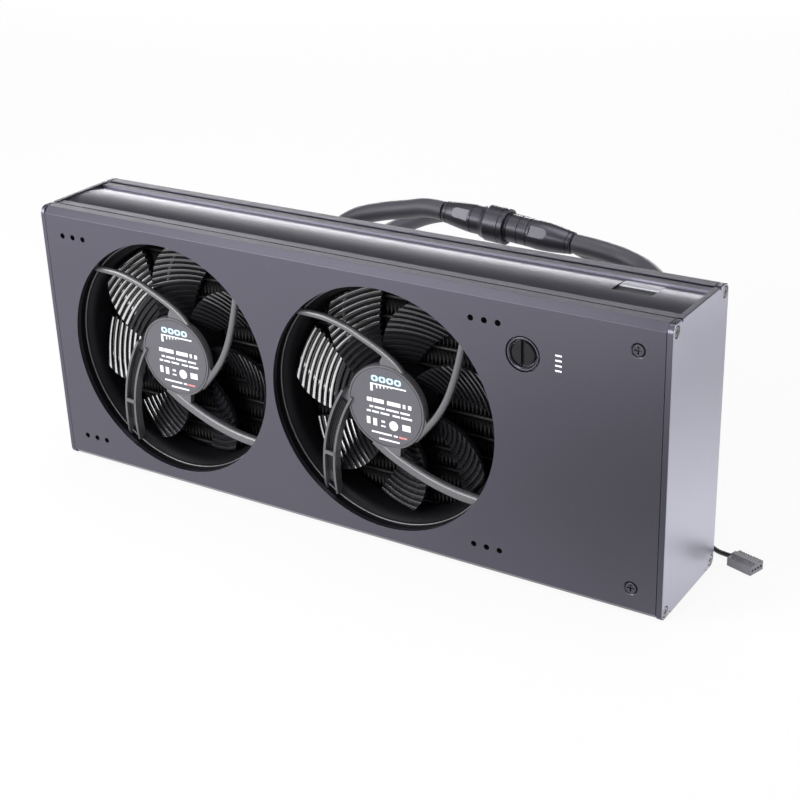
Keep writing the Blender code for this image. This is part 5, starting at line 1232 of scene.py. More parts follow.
    def make_mouth_ring(self) -> bmesh.types.BMesh:
        """The fine rounded ring along the edge of the duct's mouth, in the spider's grey: a painted
        highlight on that edge.
        """
        centre = (self.flare_radius + self.mouth_edge / 2, -self.mouth_depth)
        return turned(arc(centre, self.mouth_edge * 0.7, 0, 330, 11), 128)

    def make_cup(self) -> bmesh.types.BMesh:
        """The motor cup with its bearing tube and a low rim round the label.

        Returns:
            The solid's mesh.
        """
        floor = -self.cup_face - self.cup_wall
        end = floor - self.tube_length
        rim = self.cup_radius - self.label_radius
        profile = [
            (0, -self.cup_face), (self.label_radius + rim * 0.2, -self.cup_face),
            (self.label_radius + rim * 0.2, -self.cup_face + self.label_thickness + FIT_GAP),
            (self.cup_radius - rim * 0.3, -self.cup_face + self.label_thickness + FIT_GAP),
            (self.cup_radius, -self.cup_face - rim * 0.3), (self.cup_radius, -self.cup_depth),
            (self.cup_radius - self.cup_wall, -self.cup_depth),
            (self.cup_radius - self.cup_wall, floor), (self.tube_radius, floor),
            (self.tube_radius, end), (self.tube_bore, end), (self.tube_bore, floor), (0, floor),
        ]
        return turned(profile, 96, False)

    def strut_section(self, drop: float, height: float, width: float) -> list[Pair]:
        """A strut's rounded section, so far back from the fan's front, so high and so wide.

        Args:
            drop: How far it lies behind the struts' front.
            height: Its height.
            width: Its width.

        Returns:
            The section's corners.
        """
        half, edge = width / 2, self.strut_edge
        crown = -self.strut_front - edge - drop
        right = arc((half - edge, crown), edge, 0, 90, 5)
        left = arc((edge - half, crown), edge, 90, 180, 5)
        foot = crown - height + 2 * edge
        below = arc((edge - half, foot), edge, 180, 270, 4)
        below += arc((half - edge, foot), edge, 270, 360, 4)
        return [*right, *left, *below]

    def make_struts(self) -> list[bmesh.types.BMesh]:
        """The three curved struts, which slope back a little from the duct to the cup.

        Returns:
            The struts' meshes.
        """
        made = []
        for route, height, width in zip(self.struts, self.strut_heights, self.strut_widths):
            line = [p.xy for p in along_route([(x, y, 0.0) for x, y in route], 0.0015)]
            reach = line[-1].length - self.cup_radius
            rings = []
            for point, frame in zip(line, flat_frames(line)):
                share = max(0.0, min(1.0, (point.length - self.cup_radius) / reach))
                drop = (self.cup_face - self.strut_front) * (1 - share) ** 1.5
                section = self.strut_section(drop, height, width)
                rings.append([frame @ Vector((x, y, 0)) for x, y in section])
            made.append(lofted(rings))
        return made

    def make_webs(self) -> list[bmesh.types.BMesh]:
        """The webs that fill the corners between the cup and its struts, and a pin on one.

        Returns:
            The meshes of the webs and the pin.
        """
        top = -self.cup_face - self.web_drop
        made = [
            raised((*self.struts[strut][:count], *others), -self.cup_depth, top)
            for strut, count, others in self.webs
        ]
        radius, rise = self.pin
        pin = post(radius, -self.cup_depth, top + rise, 16)
        return [*made, moved(pin, Matrix.Translation((*self.pin_place, 0)))]

    def make_trough(self) -> bmesh.types.BMesh:
        """The open channel that carries the lead between two side walls.

        Returns:
            The solid's mesh.
        """
        half = self.trough_width / 2
        inner = half - self.trough_wall
        floor = -self.cup_depth + self.trough_floor
        section = [
            (half, -self.cup_depth), (half, -self.strut_front), (inner, -self.strut_front),
            (inner, floor), (-inner, floor), (-inner, -self.strut_front),
            (-half, -self.strut_front), (-half, -self.cup_depth),
        ]
        return swept(flat_frames(self.trough_line(36)), section)

    def trough_line(self, steps: int) -> list[Vector]:
        """The middle of the trough, from the cup out to the duct's rim."""
        first, last, bend = self.trough
        return bent_line(first, self.root, last, self.tip, bend, steps)

    def make_clip(self) -> bmesh.types.BMesh:
        """The bar across the trough that holds the lead down.

        Returns:
            The solid's mesh.
        """
        steps = 50
        line = self.trough_line(steps)
        middle = round(self.clip_place * steps)
        along = (line[middle + 1] - line[middle - 1]).normalized() * self.clip_length / 2
        reach = (self.trough_width - self.trough_wall) / 2
        section = [
            (reach, -self.strut_front - self.clip_thickness), (reach, -self.strut_front + FIT_GAP),
            (-reach, -self.strut_front + FIT_GAP),
            (-reach, -self.strut_front - self.clip_thickness),
        ]
        return swept(flat_frames([line[middle] - along, line[middle] + along]), section)

    def make_label(self) -> None:
        """The round label on the cup, with its print."""
        back = FIT_GAP - self.cup_face
        top = back + self.label_thickness
        disc = post(self.label_radius, back, top, 96)
        make_piece(
            f"{self.name}_label_disc", moved(disc, self.place), LABEL_GREY,
            (f"{self.name}_label",), PRINT_EDGE,
        )
        self.add_print(top)

    def add_print(self, top: float) -> None:
        """The thin bars, frames and disc on the label.

        Args:
            top: Height of the label's face.
        """
        low, high = top - self.print_depth, top + self.print_rise
        bars = [(-8.4 + 2.2 * i, 11.0 + 0.18 * i, 0.8, 2.2 - 0.36 * i) for i in range(5)]
        bars += PRINT_BARS
        for y, height, row in PRINT_ROWS:
            bars += [(left + width / 2, y, width, height) for left, width in row]

        def bar(x: float, y: float, width: float, height: float) -> bmesh.types.BMesh:
            """One bar, drawn in millimetres about its middle."""
            near = Vector((x - width / 2, y - height / 2)) / 1000
            far = Vector((x + width / 2, y + height / 2)) / 1000
            return block((*near, low), (*far, high))

        blue = []
        for x in PRINT_FRAMES:
            outer = raised(rounded_rectangle(0.0021, 0.0017, 0.0014, 4), low, high)
            inner = post(0.0009, top - CUT_PAST, high + CUT_PAST, 20)
            frame = combined(outer, inner, Cut.AWAY)
            blue.append(moved(frame, Matrix.Translation((x / 1000, 0.0154, 0))))
        disc = moved(post(0.0027, low, high, 32), Matrix.Translation((0.0012, -0.0095, 0)))
        white = [*(bar(*row) for row in bars), disc]
        red = [bar(*PRINT_RED_BAR)]
        for label, shapes, finish in (
            ("white", white, PRINT_WHITE), ("blue", blue, PRINT_BLUE), ("red", red, PRINT_RED),
        ):
            shape = moved(gather(shapes), self.place @ Matrix.Translation((self.print_x, 0, 0)))
            make_piece(f"{self.name}_print_{label}", shape, finish)

    def make_lead(self) -> None:
        """The flat four-wire lead that lies in the trough."""
        margin = self.lead_margin
        kept = [
            point for point in self.trough_line(48)
            if self.cup_radius + margin < point.length < self.duct_radius - margin
        ]
        floor = self.trough_floor + FIT_GAP - self.cup_depth
        radius = self.wire_width / 2
        strands = []
        for number in range(self.wires):
            across = (number - (self.wires - 1) / 2) * self.wire_width
            section = arc((across, floor + radius), radius * 0.97, 0, 330, 11)
            strands.append(swept(flat_frames(kept), section))
        make_piece(
            f"{self.name}_wires", moved(gather(strands), self.place), CABLE_BLACK,
            (f"{self.name}_lead",),
        )

    def make_rotor(self) -> None:
        """The rotor in one piece: a cup-shaped hub, its boss and the ridged blades."""
        floor = self.hub_wall - self.rotor_back
        edge = self.hub_wall / 2
        profile = [
            (0, floor), (self.boss_bore, floor), (self.boss_bore, floor + self.boss_length),
            (self.boss_radius, floor + self.boss_length), (self.boss_radius, floor),
            (self.hub_radius - self.hub_wall, floor),
            (self.hub_radius - self.hub_wall, -self.rotor_front),
            (self.hub_radius, -self.rotor_front),
            *arc((self.hub_radius - edge, edge - self.rotor_back), edge, 0, -90, 4),
            (0, -self.rotor_back),
        ]
        hub = turned(profile, 84, False)
        blades = gather(self.make_blade(number) for number in range(self.blades))
        shape = combined(hub, blades, Cut.TOGETHER)
        make_piece(
            f"{self.name}_impeller", moved(shape, self.place), ROTOR_BLACK,
            (f"{self.name}_rotor",), smooth_angle=50, body=f"{self.name}_rotor",
        )

    def ridge_stations(self) -> list[Pair]:
        """Where a blade is cut across its ridges: the share of the way out and the rise there.

        Returns:
            A share and a rise for each station.
        """
        crest = ((0.0, 0.0), (0.04, 0.72), (0.10, 0.93), (0.20, 1.0), (0.5, 1.0))
        side = crest + tuple((1 - place, rise) for place, rise in reversed(crest[:-1]))
        stations = [(0.0, 0.0)]
        for ridge in range(self.ridges):
            middle = ridge + 0.5
            for place, rise in side:
                stations.append(((middle + (place - 0.5) * self.ridge_share) / self.ridges, rise))
        return [*stations, (1.0, 0.0)]

    def make_blade(self, number: int) -> bmesh.types.BMesh:
        """One swept and twisted blade with rounded ridges along its chord.

        Args:
            number: Which blade it is, counted round the rotor.

        Returns:
            The blade's mesh about the fan's axis.
        """
        outs = self.ridge_stations()
        steps = self.chord_steps
        shape = bmesh.new()
        layer = shape.verts.layers.float.new("rise")
        bmesh.ops.create_grid(shape, x_segments=steps, y_segments=len(outs) - 1, size=0.5)
        grown = bmesh.ops.extrude_face_region(shape, geom=list(shape.faces))["geom"]
        upper = {item for item in grown if isinstance(item, bmesh.types.BMVert)}
        root = self.hub_radius - self.hub_wall / 2
        tip = self.duct_radius - self.tip_clearance
        front = -self.rotor_front - self.front_margin
        back = self.back_margin - self.rotor_back
        start = self.turn + 360 * number / self.blades
        rim = self.rim_length / (front - back)
        for vert in shape.verts:
            out, rise = outs[round((vert.co.y + 0.5) * (len(outs) - 1))]
            share = max(0.0, (round((vert.co.x + 0.5) * steps) - 1) / (steps - 1))
            share = rim * share if vert.co.x < 0.5 / steps - 0.5 else rim + (1 - rim) * share
            trim = self.tip_rounding * out**8
            along = trim + (1 - 2 * trim) * share
            radius = root + (tip - root) * out
            span = self.blade_span - self.tip_narrowing * out**2
            angle = math.radians(start - self.blade_sweep * out**1.5 - span * along)
            height = front + (back - front) * along
            if vert in upper:
                crest = 1.0 if vert.co.x < 0.5 / steps - 0.5 else rise
                height += self.blade_thickness / 2 + self.ridge_height * crest
                # These heights also steer the rotor's painted groove shade.
                vert[layer] = crest
            else:
                height -= self.blade_thickness / 2
            vert.co = (radius * math.cos(angle), radius * math.sin(angle), height)
        bmesh.ops.recalc_face_normals(shape, faces=shape.faces)
        return shape


# Cords: the two hoses with their coupling, and the control lead with its plug


def along_route(route: Sequence[Place], spacing: float) -> list[Vector]:
    """A smooth line through the points of a route, cut into equal steps.

    Args:
        route: The points that it passes through.
        spacing: The wanted length of a step.

    Returns:
        The points of the line.
    """
    places = [Vector(place) for place in route]
    places = [2 * places[0] - places[1], *places, 2 * places[-1] - places[-2]]
    fine = []
    for before, here, ahead, beyond in zip(places, places[1:], places[2:], places[3:]):
        for t in (step / 24 for step in range(24)):
            fine.append(
                here + (ahead - before) * (t / 2)
                + (2 * before - 5 * here + 4 * ahead - beyond) * (t**2 / 2)
                + (3 * here - before - 3 * ahead + beyond) * (t**3 / 2)
            )
    fine.append(places[-2])
    total = line_length(fine)
    count = max(2, round(total / spacing))
    line, reached = [fine[0]], 0.0
    for here, ahead in zip(fine, fine[1:]):
        part = (ahead - here).length
        while len(line) < count and reached + part >= total * len(line) / count:
            line.append(here.lerp(ahead, (total * len(line) / count - reached) / part))
        reached += part
    line.append(fine[-1])
    return line


def line_length(line: Sequence[Vector]) -> float:
    """The length of a line through points."""
    return sum((ahead - here).length for here, ahead in zip(line, line[1:]))


def tube_frames(line: Sequence[Vector]) -> list[Matrix]:
    """Frames carried along a line in space without a twist: their z runs along it.

    Args:
        line: The line's points.

    Returns:
        A frame for each point.
    """
    frames = []
    side = (line[1] - line[0]).orthogonal()
    for i, point in enumerate(line):
        along = (line[min(i + 1, len(line) - 1)] - line[max(i - 1, 0)]).normalized()
        side = (side - along * side.dot(along)).normalized()
        turn = Matrix((side, along.cross(side), along)).transposed().to_4x4()
        frames.append(Matrix.Translation(point) @ turn)
    return frames


@dataclass
class Cord:
    """A free hose or lead that follows a route."""

    node: str
    label: str
    route: tuple[Place, ...]
    diameter: float
    finish: Finish
    far_end: str
    stiffness: str
    spacing: float = 0.002
    sides: int = 32

    def build(self, with_pieces: Sequence[object] = ()) -> None:
        """Args:
            with_pieces: The pieces that sit on it. Not used.
        """
        line = along_route(self.route, self.spacing)
        section = arc((0, 0), self.diameter / 2, 0, 360 - 360 / self.sides, self.sides - 1)
        piece = make_piece(
            self.label, swept(tube_frames(line), section), self.finish, (self.node,),
        )


HOSE_DIAMETER = 0.0110
SHORT_HOSE_ROUTE = (
    (0.1443, 0.0475, 0.1235), (0.1443, 0.0580, 0.1236), (0.1414, 0.0705, 0.1246),
    (0.1336, 0.0839, 0.1264), (0.1216, 0.0938, 0.1286), (0.1072, 0.0989, 0.1309),
    (0.0920, 0.0995, 0.1331), (0.0772, 0.0995, 0.1344),
)
LONG_HOSE_ROUTE = (
    (-0.0059, 0.0995, 0.1409), (-0.0125, 0.0995, 0.1413), (-0.0205, 0.0995, 0.1408),
    (-0.0301, 0.0995, 0.1386), (-0.0486, 0.0995, 0.1344), (-0.0673, 0.0995, 0.1282),
    (-0.0843, 0.0994, 0.1170), (-0.0976, 0.0967, 0.1090), (-0.1162, 0.0943, 0.0978),
    (-0.1330, 0.1022, 0.0858), (-0.1439, 0.1187, 0.0757), (-0.1464, 0.1396, 0.0697),
    (-0.1400, 0.1607, 0.0691), (-0.1262, 0.1772, 0.0743), (-0.1079, 0.1843, 0.0840),
    (-0.0860, 0.1828, 0.0960), (-0.0650, 0.1805, 0.1058), (-0.0450, 0.1798, 0.1104),
    (-0.0221, 0.1800, 0.1117), (0.0129, 0.1785, 0.1090), (0.0450, 0.1730, 0.1040),
    (0.0745, 0.1610, 0.0980), (0.0960, 0.1385, 0.0915), (0.1080, 0.1095, 0.0860),
    (0.1126, 0.0775, 0.0830), (0.1129, 0.0600, 0.0825), (0.1129, 0.0473, 0.0825),
)
LEAD_DIAMETER = 0.0026
LEAD_ROUTE = (
    (0.1650, 0.0300, 0.0200), (0.1650, 0.0362, 0.0200), (0.1645, 0.0420, 0.0192),
    (0.1615, 0.0490, 0.0148), (0.1560, 0.0545, 0.0075), (0.1480, 0.0590, 0.0024),
    (0.1380, 0.0640, 0.00138), (0.1270, 0.0710, 0.00138), (0.1205, 0.0800, 0.00138),
    (0.1245, 0.0890, 0.00138), (0.1345, 0.0900, 0.00138), (0.1440, 0.0835, 0.00138),
    (0.1550, 0.0730, 0.00138), (0.1680, 0.0610, 0.00138), (0.1800, 0.0505, 0.00138),
    (0.1890, 0.0436, 0.0016), (0.1950, 0.0404, 0.0026), (0.1994, 0.0389, 0.0033),
)


@dataclass
class Coupling:
    """The quick coupling between the hoses: two tapered halves and a locking collar."""

    left: Place = (-0.0047, 0.0995, 0.1408)
    right: Place = (0.0767, 0.0995, 0.1344)
    body: float = 0.0082
    end: float = 0.0063
    bore: float = 0.0034
    split: float = 0.52
    line_depth: float = 0.00035
    line_width: float = 0.0006
    collar_radius: float = 0.0103
    collar_start: float = 0.0255
    collar_length: float = 0.0155
    collar_taper: float = 0.0030
    flat_rise: float = 0.0074
    flat_turn: float = 150.0
    flat_half: Pair = (0.0033, 0.0055)
    flat_middles: Pair = (0.0125, 0.0620)
    pad_depth: float = 0.0008
    pad_rise: float = 0.00003
    swell: float = 0.0012

    def build(self) -> list[bpy.types.Object]:
        """Make the two halves and the collar.

        Returns:
            The pieces.
        """
        ahead = Vector(self.right) - Vector(self.left)
        self.length = ahead.length
        ahead.normalize()
        side = Vector((0, 1, 0))
        turn = Matrix((side, ahead.cross(side), ahead)).transposed().to_4x4()
        self.place = Matrix.Translation(self.left) @ turn
        return [
            self.add_half("left", self.left_profile(), self.flat_middles[0], 1),
            self.add_half("right", self.right_profile(), self.flat_middles[1], -1),
            self.add_collar(),
        ]

    def groove(self, radius: float, start: float) -> list[Pair]:
        """A thin turned line in a body, going from a height upward.

        Args:
            radius: The body's radius.
            start: Where the line starts.

        Returns:
            The points of the profile.
        """
        depth, width = self.line_depth, self.line_width
        return [
            (radius, start), (radius - depth, start), (radius - depth, start + width),
            (radius, start + width),
        ]

    def left_profile(self) -> list[Pair]:
        """Profile of the left half, from its hose end upward.

        Returns:
            Points of radius and height.
        """
        length, body, end = self.length, self.body, self.end
        swell = arc((end - self.swell, self.swell), self.swell, -90, 0, 4)
        return [
            (self.bore, 0), *swell, *self.groove(end + 0.0001, 0.0022),
            (end + 0.0004, length * 0.05),
            (body - 0.0005, length * 0.15), (body - 0.0001, length * 0.20),
            *self.groove(body, length * 0.235),
            (body, length * self.split), (self.bore, length * self.split),
        ]

    def right_profile(self) -> list[Pair]:
        """Profile of the right half, from the split to its hose end.

        Returns:
            Points of radius and height.
        """
        length, body, end = self.length, self.body, self.end
        low = body - 0.0003
        swell = arc((end - self.swell, length - self.swell), self.swell, 0, 90, 4)
        return [
            (self.bore, length * self.split + FIT_GAP), (low, length * self.split + FIT_GAP),
            *self.groove(low, length * 0.60), *self.groove(low, length * 0.67),
            (body, length * 0.74), (body - 0.0001, length * 0.79), (body - 0.0004, length * 0.84),
            (end + 0.0004, length * 0.95), *self.groove(end + 0.0001, length - 0.0028),
            *swell, (self.bore, length),
        ]

    def add_half(self, which: str, profile: Sequence[Pair], middle: float,
                 facing: int) -> bpy.types.Object:
        """Turn one half and mill the wrench flat into its side, with a lighter pad on it as a
        painted highlight.

        Args:
            which: "left" or "right".
            profile: Its profile.
            middle: How far along the flat lies.
            facing: 1 for a flat that is round at its near end, -1 for one round at its far end.

        Returns:
            The half.
        """
        half = turned(profile, 72)
        across, along = self.flat_half
        outline = arc((across - along, 0), across, 90, 270, 12)
        outline += [(along, -across), (along, across)]
        outline = [(middle + facing * x, facing * y) for x, y in outline]
        stand = Matrix(((0, 0, 1), (0, -1, 0), (1, 0, 0))).to_4x4()
        stand = Matrix.Rotation(math.radians(self.flat_turn), 4, "Z") @ stand
        cutter = moved(raised(outline, self.flat_rise, self.flat_rise + self.body), stand)
        half = combined(half, cutter, Cut.AWAY)
        inner = [(x * 0.94 + middle * 0.06, y * 0.9) for x, y in outline]
        low, high = self.flat_rise - self.pad_depth, self.flat_rise + self.pad_rise
        # The pad is a painted highlight on the flat.
        make_piece(
            f"coupling_flat_{which}", moved(raised(inner, low, high), self.place @ stand),
            COUPLING_FLAT_HIGHLIGHT, rounding=PRINT_EDGE,
        )
        return make_piece(
            f"coupling_{which}", moved(half, self.place), COUPLING_BLACK,
            (f"coupling_half_{which}",), FINE_EDGE, 25,
        )

    def add_collar(self) -> bpy.types.Object:
        """The locking collar: a taper, one turned line and a plain end rim.

        Returns:
            The collar.
        """
        start, stop = self.collar_start, self.collar_start + self.collar_length
        low, high = self.body + FIT_GAP, self.collar_radius
        profile = [
            (low, start), (self.body + 0.0010, start), (high - 0.0004, start + self.collar_taper),
            (high, start + self.collar_taper + 0.0006),
            *self.groove(high, stop - 0.0034),
            (high, stop - 0.0003), (high - 0.0003, stop), (low, stop),
        ]
        return make_piece(
            "coupling_ring", moved(turned(profile, 84), self.place), COLLAR_GREY,
            ("coupling_collar",), FINE_EDGE, 25, "coupling_collar",
        )


@dataclass
class LeadPlug:
    """The ribbed four-way plug at the end of the control lead."""

    place: Place = (0.2000, 0.0387, 0.0033)
    turn: float = -17.0
    length: float = 0.0150
    width: float = 0.0102
    height: float = 0.0060
    rib_width: float = 0.0030
    rib_height: float = 0.0010
    sockets: int = 4
    pitch: float = 0.0023
    socket: float = 0.0013
    depth: float = 0.0040
    grooves: int = 5
    groove_start: float = 0.0022
    groove_pitch: float = 0.0015
    groove_depth: float = 0.0004
    groove_width: float = 0.0007

    def build(self) -> bpy.types.Object:
        """Make the plug with its key rib, grip grooves and sockets.

        Returns:
            The plug.
        """
        half_width, half_height = self.width / 2, self.height / 2
        shoulder = half_height - self.rib_height
        rib = self.rib_width / 2
        outline = [
            (-half_width, -half_height), (half_width, -half_height), (half_width, shoulder),
            (rib, shoulder), (rib, half_height), (-rib, half_height), (-rib, shoulder),
            (-half_width, shoulder),
        ]
        shape = raised(outline, FIT_GAP, FIT_GAP + self.length)
        cuts = []
        middle = (shoulder - half_height) / 2
        for number in range(self.sockets):
            across = (number - (self.sockets - 1) / 2) * self.pitch
            low = (across - self.socket / 2, middle - self.socket / 2, self.length - self.depth)
            high = (across + self.socket / 2, middle + self.socket / 2, self.length * 2)
            cuts.append(block(low, high))
        for number in range(self.grooves):
            start = self.groove_start + number * self.groove_pitch
            for side in (-1, 1):
                near, far = sorted((side * (rib + FIT_GAP), side * self.width))
                low = (near, shoulder - self.groove_depth, start)
                cuts.append(block(low, (far, self.width, start + self.groove_width)))
        shape = combined(shape, gather(cuts), Cut.AWAY)
        spin = Matrix.Rotation(math.radians(self.turn), 4, "Z") @ Facing.TO_RIGHT.at((0, 0, 0))
        return make_piece(
            "plug_shell", moved(shape, Matrix.Translation(self.place) @ spin), PLUG_GREY,
            ("lead_plug",), FINE_EDGE,
        )


def make_cords() -> None:
    """The hoses with the coupling between them, and the lead with its plug."""
    coupling = Coupling().build()
    flats = [bpy.data.objects[f"coupling_flat_{which}"] for which in ("left", "right")]
    Cord(
        "hose_short", "short_hose", SHORT_HOSE_ROUTE, HOSE_DIAMETER, HOSE_RUBBER, "connector",
        "stiff",
    ).build((*coupling, *flats))
    Cord(
        "hose_long", "long_hose", LONG_HOSE_ROUTE, HOSE_DIAMETER, HOSE_RUBBER, "object", "stiff",
    ).build()
    Cord(
        "control_lead", "lead", LEAD_ROUTE, LEAD_DIAMETER, CABLE_BLACK, "plug", "medium",
        0.001, 16,
    ).build((LeadPlug().build(),))


@dataclass
class Fitting:
    """A hose fitting in the rear panel: flange, clamping nut and neck."""

    node: str
    place: Pair
    base: float = 0.0328
    end: float = 0.0468
    flange: float = 0.0095
    flange_height: float = 0.0030
    nut: float = 0.0084
    neck: float = 0.0060
    bore: float = 0.0034

    def __post_init__(self) -> None:
        """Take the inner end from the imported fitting."""
        self.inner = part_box(self.node)[0].y

    def build(self) -> None:
        """Turn the fitting, with a fine groove round its nut."""
        top = self.base + self.flange_height
        profile = [
            (self.bore, self.end), (self.nut - 0.0009, self.end), (self.nut, self.end - 0.0009),
            (self.nut, top + 0.0036), (self.nut - 0.0003, top + 0.0033),
            (self.nut - 0.0003, top + 0.0029), (self.nut, top + 0.0026),
            (self.nut, top + 0.0008), (self.nut - 0.0004, top), (self.flange - 0.0006, top),
            (self.flange, top - 0.0006), (self.flange, self.base), (self.neck, self.base),
            (self.neck, self.inner), (self.bore, self.inner),
        ]
        shape = moved(turned(profile, 72), Facing.TO_BACK.at((self.place[0], 0, self.place[1])))
        make_piece(f"{self.node}_body", shape, COUPLING_BLACK, (self.node,), FINE_EDGE, 25)


# The case: panels, covers, end plates and their screws


@dataclass
class CaseShell:
    """The two panels and two covers, all cut from long sections, and the level window."""

    wall: float = 0.0030
    bevel: float = 0.0036
    land: float = 0.0091
    rail: float = 0.0072
    ledge_width: float = 0.0032
    ledge_depth: float = 0.0036
    cover_drop: float = 0.0004
    cover_half: float = 0.0214
    channel_half: float = 0.0164
    channel_drop: float = 0.0022
    crown_half: float = 0.0155
    crown_edge: float = 0.0017
    fan_opening: float = 0.0675
    fan_hole: float = 0.06225
    small_hole: float = 0.0016
    small_pitch: float = 0.0075
    fill: Pair = (0.1160, 0.1263)
    fill_radius: float = 0.0093
    screw_x: float = 0.1753
    screw_reach: float = 0.0625
    screw_inset: float = 0.0043
    bore: float = 0.0018
    bore_depth: float = 0.0103
    seat_radius: float = 0.0038
    seat_depth: float = 0.0020
    rear_margin: float = 0.0045
    rear_corner: float = 0.008
    holes: tuple[Place, ...] = (
        (0.0063, 0.1443, 0.1235), (0.0063, 0.1129, 0.0825), (0.0039, 0.1650, 0.0200),
    )
    window_low: Pair = (0.1473, -0.0018)
    window_high: Pair = (0.1677, 0.0146)
    window_ledge: float = 0.0015
    window_pad: float = 0.0060
    window_drop: float = 0.0030
    pad_overlap: float = 0.0005
    well_depth: float = 0.009
    well_reach: float = 0.015
    pane: float = 0.0012
    pane_split: float = 0.48
    pane_rise: float = 0.0014
    dome: float = 0.0007
    # Height of the strip of painted shade before the pane.
    shade_strip_rise: float = 0.0016
    # Drop, clearance and end margin of the black strips that paint the shade in the gaps beside the
    # covers.
    gap_shade_drop: float = 0.0016
    gap_shade_clearance: float = 0.0001
    gap_shade_end: float = 0.0005
    mark_depth: float = 0.00012
    mark_first: Pair = (0.1351, 0.1293)
    mark_pitch: float = 0.0026
    mark_size: Pair = (0.0034, 0.0009)
    mark_bars: int = 4

    def __post_init__(self) -> None:
        """Take the case's outer size from its packed panels."""
        low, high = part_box("front_panel")
        self.front, self.back = low.y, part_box("rear_panel")[1].y
        self.height = high.z - low.z
        self.half = (high.x - low.x) / 2
        self.along = Facing.TO_RIGHT.at((0, 0, 0))
        self.fans = []
        for name in ROTOR_TURNS:
            near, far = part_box(f"{name}_frame")
            self.fans.append((near.x + far.x) / 2)

    def build(self) -> None:
        """Make the panels, the covers and the window."""
        self.make_front()
        self.make_rear()
        for upward in (True, False):
            self.make_cover(upward)
            self.make_gap_shades(upward)
        self.make_pane()
        self.make_mark()

    def panel(self, side: int) -> bmesh.types.BMesh:
        """A panel's blank: a wall, bevelled corners and a rail with a ledge at each.

        Args:
            side: 1 for the rear panel, -1 for the front one.

        Returns:
            The solid's mesh.
        """
        outer = side * self.back
        land = outer - side * self.land
        ledge = land - side * self.ledge_width
        upper = [
            (outer, self.height - self.bevel), (outer - side * self.bevel, self.height),
            (land, self.height), (land, self.height - self.ledge_depth),
            (ledge, self.height - self.ledge_depth), (ledge, self.height - self.rail),
            (outer - side * self.wall, self.height - self.rail),
        ]
        section = upper + [(y, self.height - z) for y, z in reversed(upper)]
        return moved(raised(section, -self.half, self.half), self.along)

    def end_bores(self, side: int) -> list[bmesh.types.BMesh]:
        """Cutters for the corner screws' bores at both ends of a panel.

        Args:
            side: 1 for the rear panel, -1 for the front one.

        Returns:
            The cutters.
        """
        y = side * (self.back - self.screw_inset)
        return [
            moved(
                post(self.bore, -self.bore_depth, self.bore_depth, 20),
                Facing.TO_RIGHT.at((end * self.half, y, z)),
            )
            for end in (-1, 1) for z in (self.screw_inset, self.height - self.screw_inset)
        ]

    def make_front(self) -> None:
        """The front panel with its fan openings, small holes, fill port and screw seats."""
        middle = self.height / 2
        cuts = self.end_bores(-1)
        for number, x in enumerate(self.fans):
            opening = post(self.fan_opening, -CUT_REACH, CUT_REACH, 144)
            cuts.append(self.front_cut(opening, x, middle))
            outer = x + (-1, 1)[number] * self.fan_hole
            for z in (middle - self.fan_hole, middle + self.fan_hole):
                for step in (-1, 0, 1):
                    hole = post(self.small_hole, -CUT_REACH, CUT_REACH, 28)
                    cuts.append(self.front_cut(hole, outer + step * self.small_pitch, z))
        cuts.append(self.front_cut(post(self.fill_radius, -CUT_REACH, CUT_REACH, 64), *self.fill))
        seat = [
            (0, CUT_PAST), (self.seat_radius, CUT_PAST), (self.seat_radius, 0),
            (self.bore, -self.seat_depth), (self.bore, -CUT_REACH), (0, -CUT_REACH),
        ]
        for side in (-1, 1):
            cutter = turned(seat, 32, False)
            cuts.append(self.front_cut(cutter, self.screw_x, middle + side * self.screw_reach))
        cuts += self.marks(-CUT_PAST)
        shape = combined(self.panel(-1), gather(cuts), Cut.AWAY)
        make_piece("front_shell", shape, CASE_ANODISED, ("front_panel",), PANEL_EDGE)

    def marks(self, start: float) -> list[bmesh.types.BMesh]:
        """The bars beside the fill port, from a depth in the front face down to their full one.

        Args:
            start: Where they start, measured from the face.

        Returns:
            A block for each bar.
        """
        x, top = self.mark_first
        half_x, half_z = (size / 2 for size in self.mark_size)
        return [
            block(
                (x - half_x, self.front + start, z - half_z),
                (x + half_x, self.front + self.mark_depth, z + half_z),
            )
            for z in (top - self.mark_pitch * number for number in range(self.mark_bars))
        ]

    def make_mark(self) -> None:
        """The white bars beside the fill port, let into the panel."""
        make_piece("fill_mark", gather(self.marks(self.mark_depth / 4)), MARK_WHITE)

    def front_cut(self, shape: bmesh.types.BMesh, x: float, z: float) -> bmesh.types.BMesh:
        """Stand a cutter on the front face."""
        return moved(shape, Facing.TO_FRONT.at((x, self.front, z)))

    def make_rear(self) -> None:
        """The rear panel, open over the radiator, with holes for the fittings and the lead."""
        low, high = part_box("radiator_core")
        half_x = (high.x - low.x) / 2 - self.rear_margin
        half_z = (high.z - low.z) / 2 - self.rear_margin
        outline = rounded_rectangle(half_x, half_z, self.rear_corner, 12)
        centre = ((low.x + high.x) / 2, self.back, (low.z + high.z) / 2)
        cuts = [moved(raised(outline, -CUT_REACH, CUT_REACH), Facing.TO_BACK.at(centre))]
        for radius, x, z in self.holes:
            cutter = post(radius, -CUT_REACH, CUT_REACH, 48)
            cuts.append(moved(cutter, Facing.TO_BACK.at((x, self.back, z))))
        shape = combined(self.panel(1), gather(cuts + self.end_bores(1)), Cut.AWAY)
        make_piece("rear_shell", shape, CASE_ANODISED, ("rear_panel",), PANEL_EDGE)

